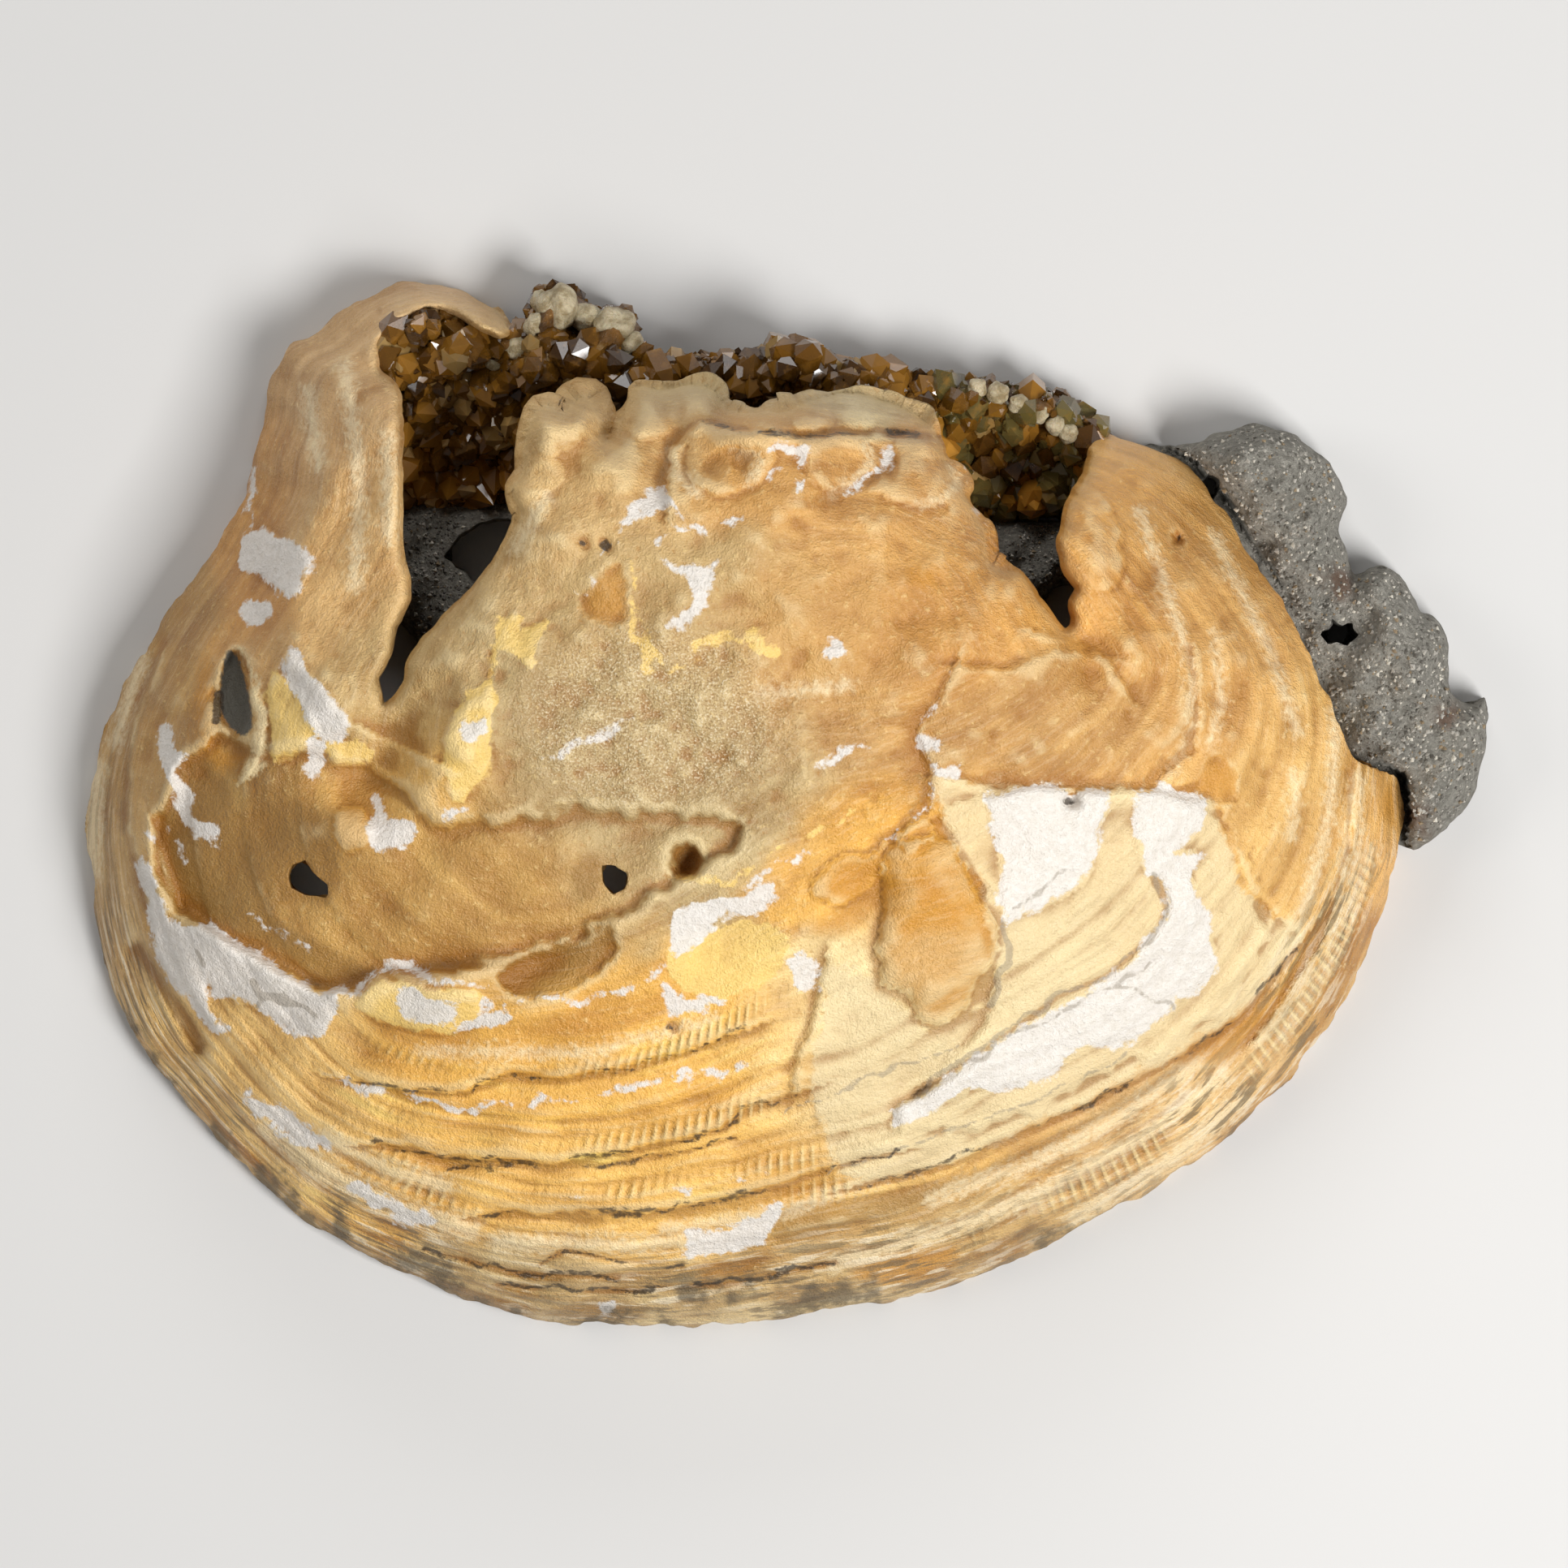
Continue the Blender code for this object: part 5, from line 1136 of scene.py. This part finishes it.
def make_rock():
    def levels(x, y):
        return np.maximum(rock_face(x, y), 0.5), np.zeros(len(x))

    def bulge(px, py, part):
        return 0.3 * noise(px, py + 9 * part, 1.2, 5) * math.sin(math.pi * part)

    rock, points, _ = solid("matrix_surface", ROCK_BOX, *ROCK_SPACING, rock_field, levels, ROCK_WALL_ROWS, bulge)
    px, py = points[:, 0], points[:, 1]
    stain = sum(np.exp(-((px - a) ** 2 + (py - b) ** 2) / r ** 2) for (a, b), r in STAINS)
    store(rock, "stain", stain * (0.9 + 0.6 * rough(px, py, 1.2, 2, 8)))
    rock.data.materials.append(rock_material())
    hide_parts("matrix_rock")

    # Sand grains, only where the rock is seen
    rng = np.random.default_rng(5)
    gx, gy = rng.uniform(-37, 58, 26000), rng.uniform(-4, 31.5, 26000)
    seen = (edge_distance(gx, gy, MARGIN) < -0.1) | (edge_distance(gx, gy, GAP_LINE) > -1.0)
    seen &= rock_field(gx, gy) > 0.3
    gx, gy = gx[seen][:MOST_GRAINS], gy[seen][:MOST_GRAINS]
    gz = rock_face(gx, gy)
    size = 0.1 + 0.16 * rng.random(len(gx)) ** 2
    shape = np.array([(1, 0, 0), (-1, 0, 0), (0, 1, 0), (0, -1, 0), (0, 0, 1), (0, 0, -1)], float)
    corners = len(shape)
    octa = np.array([(0, 2, 4), (2, 1, 4), (1, 3, 4), (3, 0, 4), (2, 0, 5), (1, 2, 5), (3, 1, 5), (0, 3, 5)])
    jitter = 1 + rng.normal(0, 0.22, (len(gx), corners, 3))
    spin = rng.uniform(0, math.pi, len(gx))
    local = shape[None] * jitter * size[:, None, None]
    turned = local.copy()
    turned[..., 0] = local[..., 0] * np.cos(spin)[:, None] - local[..., 1] * np.sin(spin)[:, None]
    turned[..., 1] = local[..., 0] * np.sin(spin)[:, None] + local[..., 1] * np.cos(spin)[:, None]
    points = turned + np.stack([gx, gy, gz], 1)[:, None, :]
    faces = octa[None] + corners * np.arange(len(gx))[:, None, None]
    grains = make_piece("matrix_grains", points.reshape(-1, 3), faces.reshape(-1, 3), smooth=False)
    shades = linear(GRAIN_SHADES)
    pick = rng.choice(5, len(gx), p=[0.3, 0.28, 0.2, 0.12, 0.1])
    store(grains, "grain_colour", np.repeat(shades[pick], corners, axis=0))
    grains.data.materials.append(grain_material())


def crust_field(x, y):
    return edge_distance(x, y, CRUST_LINE) + 0.15 * rough(x, y, 1.2, 2, 7)


def crystal_mesh(rng, places, leans, widths, lengths):
    """Pointed prisms rooted below the surface."""
    count, sides = len(places), CRYSTAL_SIDES
    angle = np.linspace(0, 2 * math.pi, sides, endpoint=False)
    ring = np.stack([np.cos(angle), np.sin(angle)], 1)
    up = leans / np.linalg.norm(leans, axis=1)[:, None]
    side = np.cross(up, np.tile([0.3, 0.9, 0.1], (count, 1)))
    side /= np.linalg.norm(side, axis=1)[:, None]
    other = np.cross(up, side)
    spin = rng.uniform(0, math.pi, count)
    first = side * np.cos(spin)[:, None] + other * np.sin(spin)[:, None]
    second = other * np.cos(spin)[:, None] - side * np.sin(spin)[:, None]
    radial = ring[None, :, 0, None] * first[:, None] + ring[None, :, 1, None] * second[:, None]
    radial = radial * rng.uniform(0.72, 1.18, (count, sides, 1))
    half = (widths / 2)[:, None, None]
    shoulder = rng.uniform(0.35, 0.8, count)[:, None, None]
    base = places[:, None] + radial * half * 0.9 - up[:, None] * (lengths * 0.45)[:, None, None]
    top = places[:, None] + radial * half + up[:, None] * (lengths[:, None, None] * shoulder * 0.6)
    tip = places + up * (lengths * 0.75)[:, None] + first * (widths * 0.12)[:, None]
    points = np.concatenate([base, top, tip[:, None]], axis=1)
    k = np.arange(sides)
    after = (k + 1) % sides
    faces = np.concatenate([np.stack([k, after, after + sides], 1), np.stack([k, after + sides, k + sides], 1),
                            np.stack([k + sides, after + sides, np.full(sides, 2 * sides)], 1)])
    faces = faces[None] + (2 * sides + 1) * np.arange(count)[:, None, None]
    return points.reshape(-1, 3), faces.reshape(-1, 3)


def make_crust():
    def levels(x, y):
        return np.maximum(crust_face(x, y), 1.2), np.full(len(x), CRUST_FLOOR)

    def bulge(px, py, part):
        return 0.35 * noise(px, py + 7 * part, 1.4, 5) * math.sin(math.pi * part)

    base, _, _ = solid("crust_base", CRUST_BOX, *ROCK_SPACING, crust_field, levels, ROCK_WALL_ROWS, bulge)
    base.data.materials.append(crust_base_material())
    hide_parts("crystal_crust")

    rng = np.random.default_rng(3)
    cx, cy = rng.uniform(-35, 27, 9000), rng.uniform(24, 43, 9000)
    good = (crust_field(cx, cy) > 0.25) & (edge_distance(cx, cy, GAP_LINE) > -1.2)
    for (ax, ay, _), radius in LUMPS:
        good &= np.hypot(cx - ax, cy - ay) > radius + 0.1
    cx, cy = cx[good][:MOST_CRYSTALS], cy[good][:MOST_CRYSTALS]
    widths = 0.6 + 2.4 * rng.random(len(cx)) ** 2.2
    lengths = widths * rng.uniform(0.8, 1.4, len(cx))
    level = np.maximum(crust_face(cx, cy), 1.2)
    leans = np.stack([rng.normal(0, 0.45, len(cx)), rng.normal(-0.25, 0.45, len(cx)), np.ones(len(cx))], 1)
    # The back wall of the crust, where crystals point outwards
    wx, wy = rng.uniform(-36.5, 28, 16000), rng.uniform(29, 43.5, 16000)
    depth = crust_field(wx, wy)
    out = np.stack([crust_field(wx - 0.2, wy) - crust_field(wx + 0.2, wy),
                    crust_field(wx, wy - 0.2) - crust_field(wx, wy + 0.2)], 1)
    wall = (depth > 0.2) & (depth < 0.55) & (out[:, 1] > 0)
    wx, wy, out = (values[wall][:MOST_WALL_CRYSTALS] for values in (wx, wy, out))
    rise = rng.uniform(0, 1, len(wx))
    small = 0.5 + 1.3 * rng.random(len(wx)) ** 2.0
    cx, cy = np.concatenate([cx, wx]), np.concatenate([cy, wy])
    level = np.concatenate([level, 0.9 + rise * np.maximum(crust_face(wx, wy) - 1.2, 0)])
    widths, lengths = np.concatenate([widths, small]), np.concatenate([lengths, small * 0.9])
    out /= np.linalg.norm(out, axis=1)[:, None]
    leans = np.concatenate([leans, np.column_stack([out, rng.normal(0.3, 0.3, len(wx))])])
    points, faces = crystal_mesh(rng, np.stack([cx, cy, level], 1), leans, widths, lengths)
    points[:, 2] = np.maximum(points[:, 2], 0.1)
    crystals = make_piece("crust_crystals", points, faces, smooth=False)
    tints = linear(CRYSTAL_SHADES)
    east = (cx > 12).astype(float)
    pick = np.where(rng.random(len(cx)) < 0.55 * east, 4, rng.choice(4, len(cx), p=[0.36, 0.28, 0.26, 0.10]))
    # Crystals below y = 34 sit low in the gaps, in the dome's shadow; their tints are made up to 2.3 times brighter
    # there as painted light. The random factor is tone.
    shade = tints[pick] * (rng.uniform(0.7, 1.25, len(cx)) * (1 + 1.3 * ease((34 - cy) / 8)))[:, None]
    store(crystals, "crystal_colour", np.repeat(shade, 2 * CRYSTAL_SIDES + 1, axis=0))
    crystals.data.materials.append(crystal_material())

    points, faces, start = [], [], 0
    for (ax, ay, az), radius in LUMPS:
        bpy.ops.mesh.primitive_ico_sphere_add(subdivisions=4, radius=1.0)
        ball = bpy.context.object
        co = np.array([v.co for v in ball.data.vertices])
        index = np.array([p.vertices[:] for p in ball.data.polygons])
        bpy.data.objects.remove(ball)
        swell = 1 + 0.16 * noise(co[:, 0] * 2 + ax, co[:, 1] * 2 + co[:, 2] * 1.3, 0.9, 4)
        points.append(co * radius * swell[:, None] + np.array([ax, ay, az]))
        faces.append(index + start)
        start += len(co)
    blobs = make_piece("pale_lumps", np.concatenate(points), np.concatenate(faces))
    blobs.data.materials.append(lump_material())


def make_studio():
    bpy.ops.mesh.primitive_plane_add(size=4, location=(0, 0, -0.00005))
    floor = bpy.context.object
    floor.name = "floor"
    paint = bpy.data.materials.new("pale_floor")
    paint.use_nodes = True
    surface = paint.node_tree.nodes["Principled BSDF"]
    surface.inputs["Base Color"].default_value = (0.6, 0.592, 0.58, 1)
    surface.inputs["Roughness"].default_value = 0.8
    floor.data.materials.append(paint)

    bpy.context.scene.view_settings.view_transform = "Standard"
    world = bpy.data.worlds.new("studio")
    bpy.context.scene.world = world
    world.use_nodes = True
    world.node_tree.nodes["Background"].inputs["Color"].default_value = (1, 0.99, 0.97, 1)
    world.node_tree.nodes["Background"].inputs["Strength"].default_value = 0.13

    def softbox(name, place, size, power, target=(0, 0, 0.01)):
        data = bpy.data.lights.new(name, "AREA")
        data.shape = "RECTANGLE"
        data.size, data.size_y = size
        data.energy = power
        lamp = bpy.data.objects.new(name, data)
        bpy.context.scene.collection.objects.link(lamp)
        lamp.location = place
        lamp.rotation_euler = (Vector(target) - Vector(place)).to_track_quat("-Z", "Y").to_euler()

    softbox("key", (0.24, -0.16, 0.44), (0.2, 0.16), 3.0)
    softbox("fill", (-0.42, 0.1, 0.42), (0.3, 0.3), 0.9)
    softbox("back", (0.0, 0.5, 0.3), (0.35, 0.2), 1.0)

    camera = bpy.data.cameras.new("camera")
    camera.lens = LENS
    camera.sensor_width = SENSOR
    camera.clip_start, camera.clip_end = 0.05, 20
    holder = bpy.data.objects.new("camera", camera)
    bpy.context.scene.collection.objects.link(holder)
    width = FRAME_PIXELS * MM_PER_PIXEL * MM
    holder.location = (-0.0002, 0.0016 + CENTRE_SHIFT[1] * MM, 0.003 + width * LENS / SENSOR)
    bpy.context.scene.camera = holder


make_shell()
make_rock()
make_crust()
make_studio()
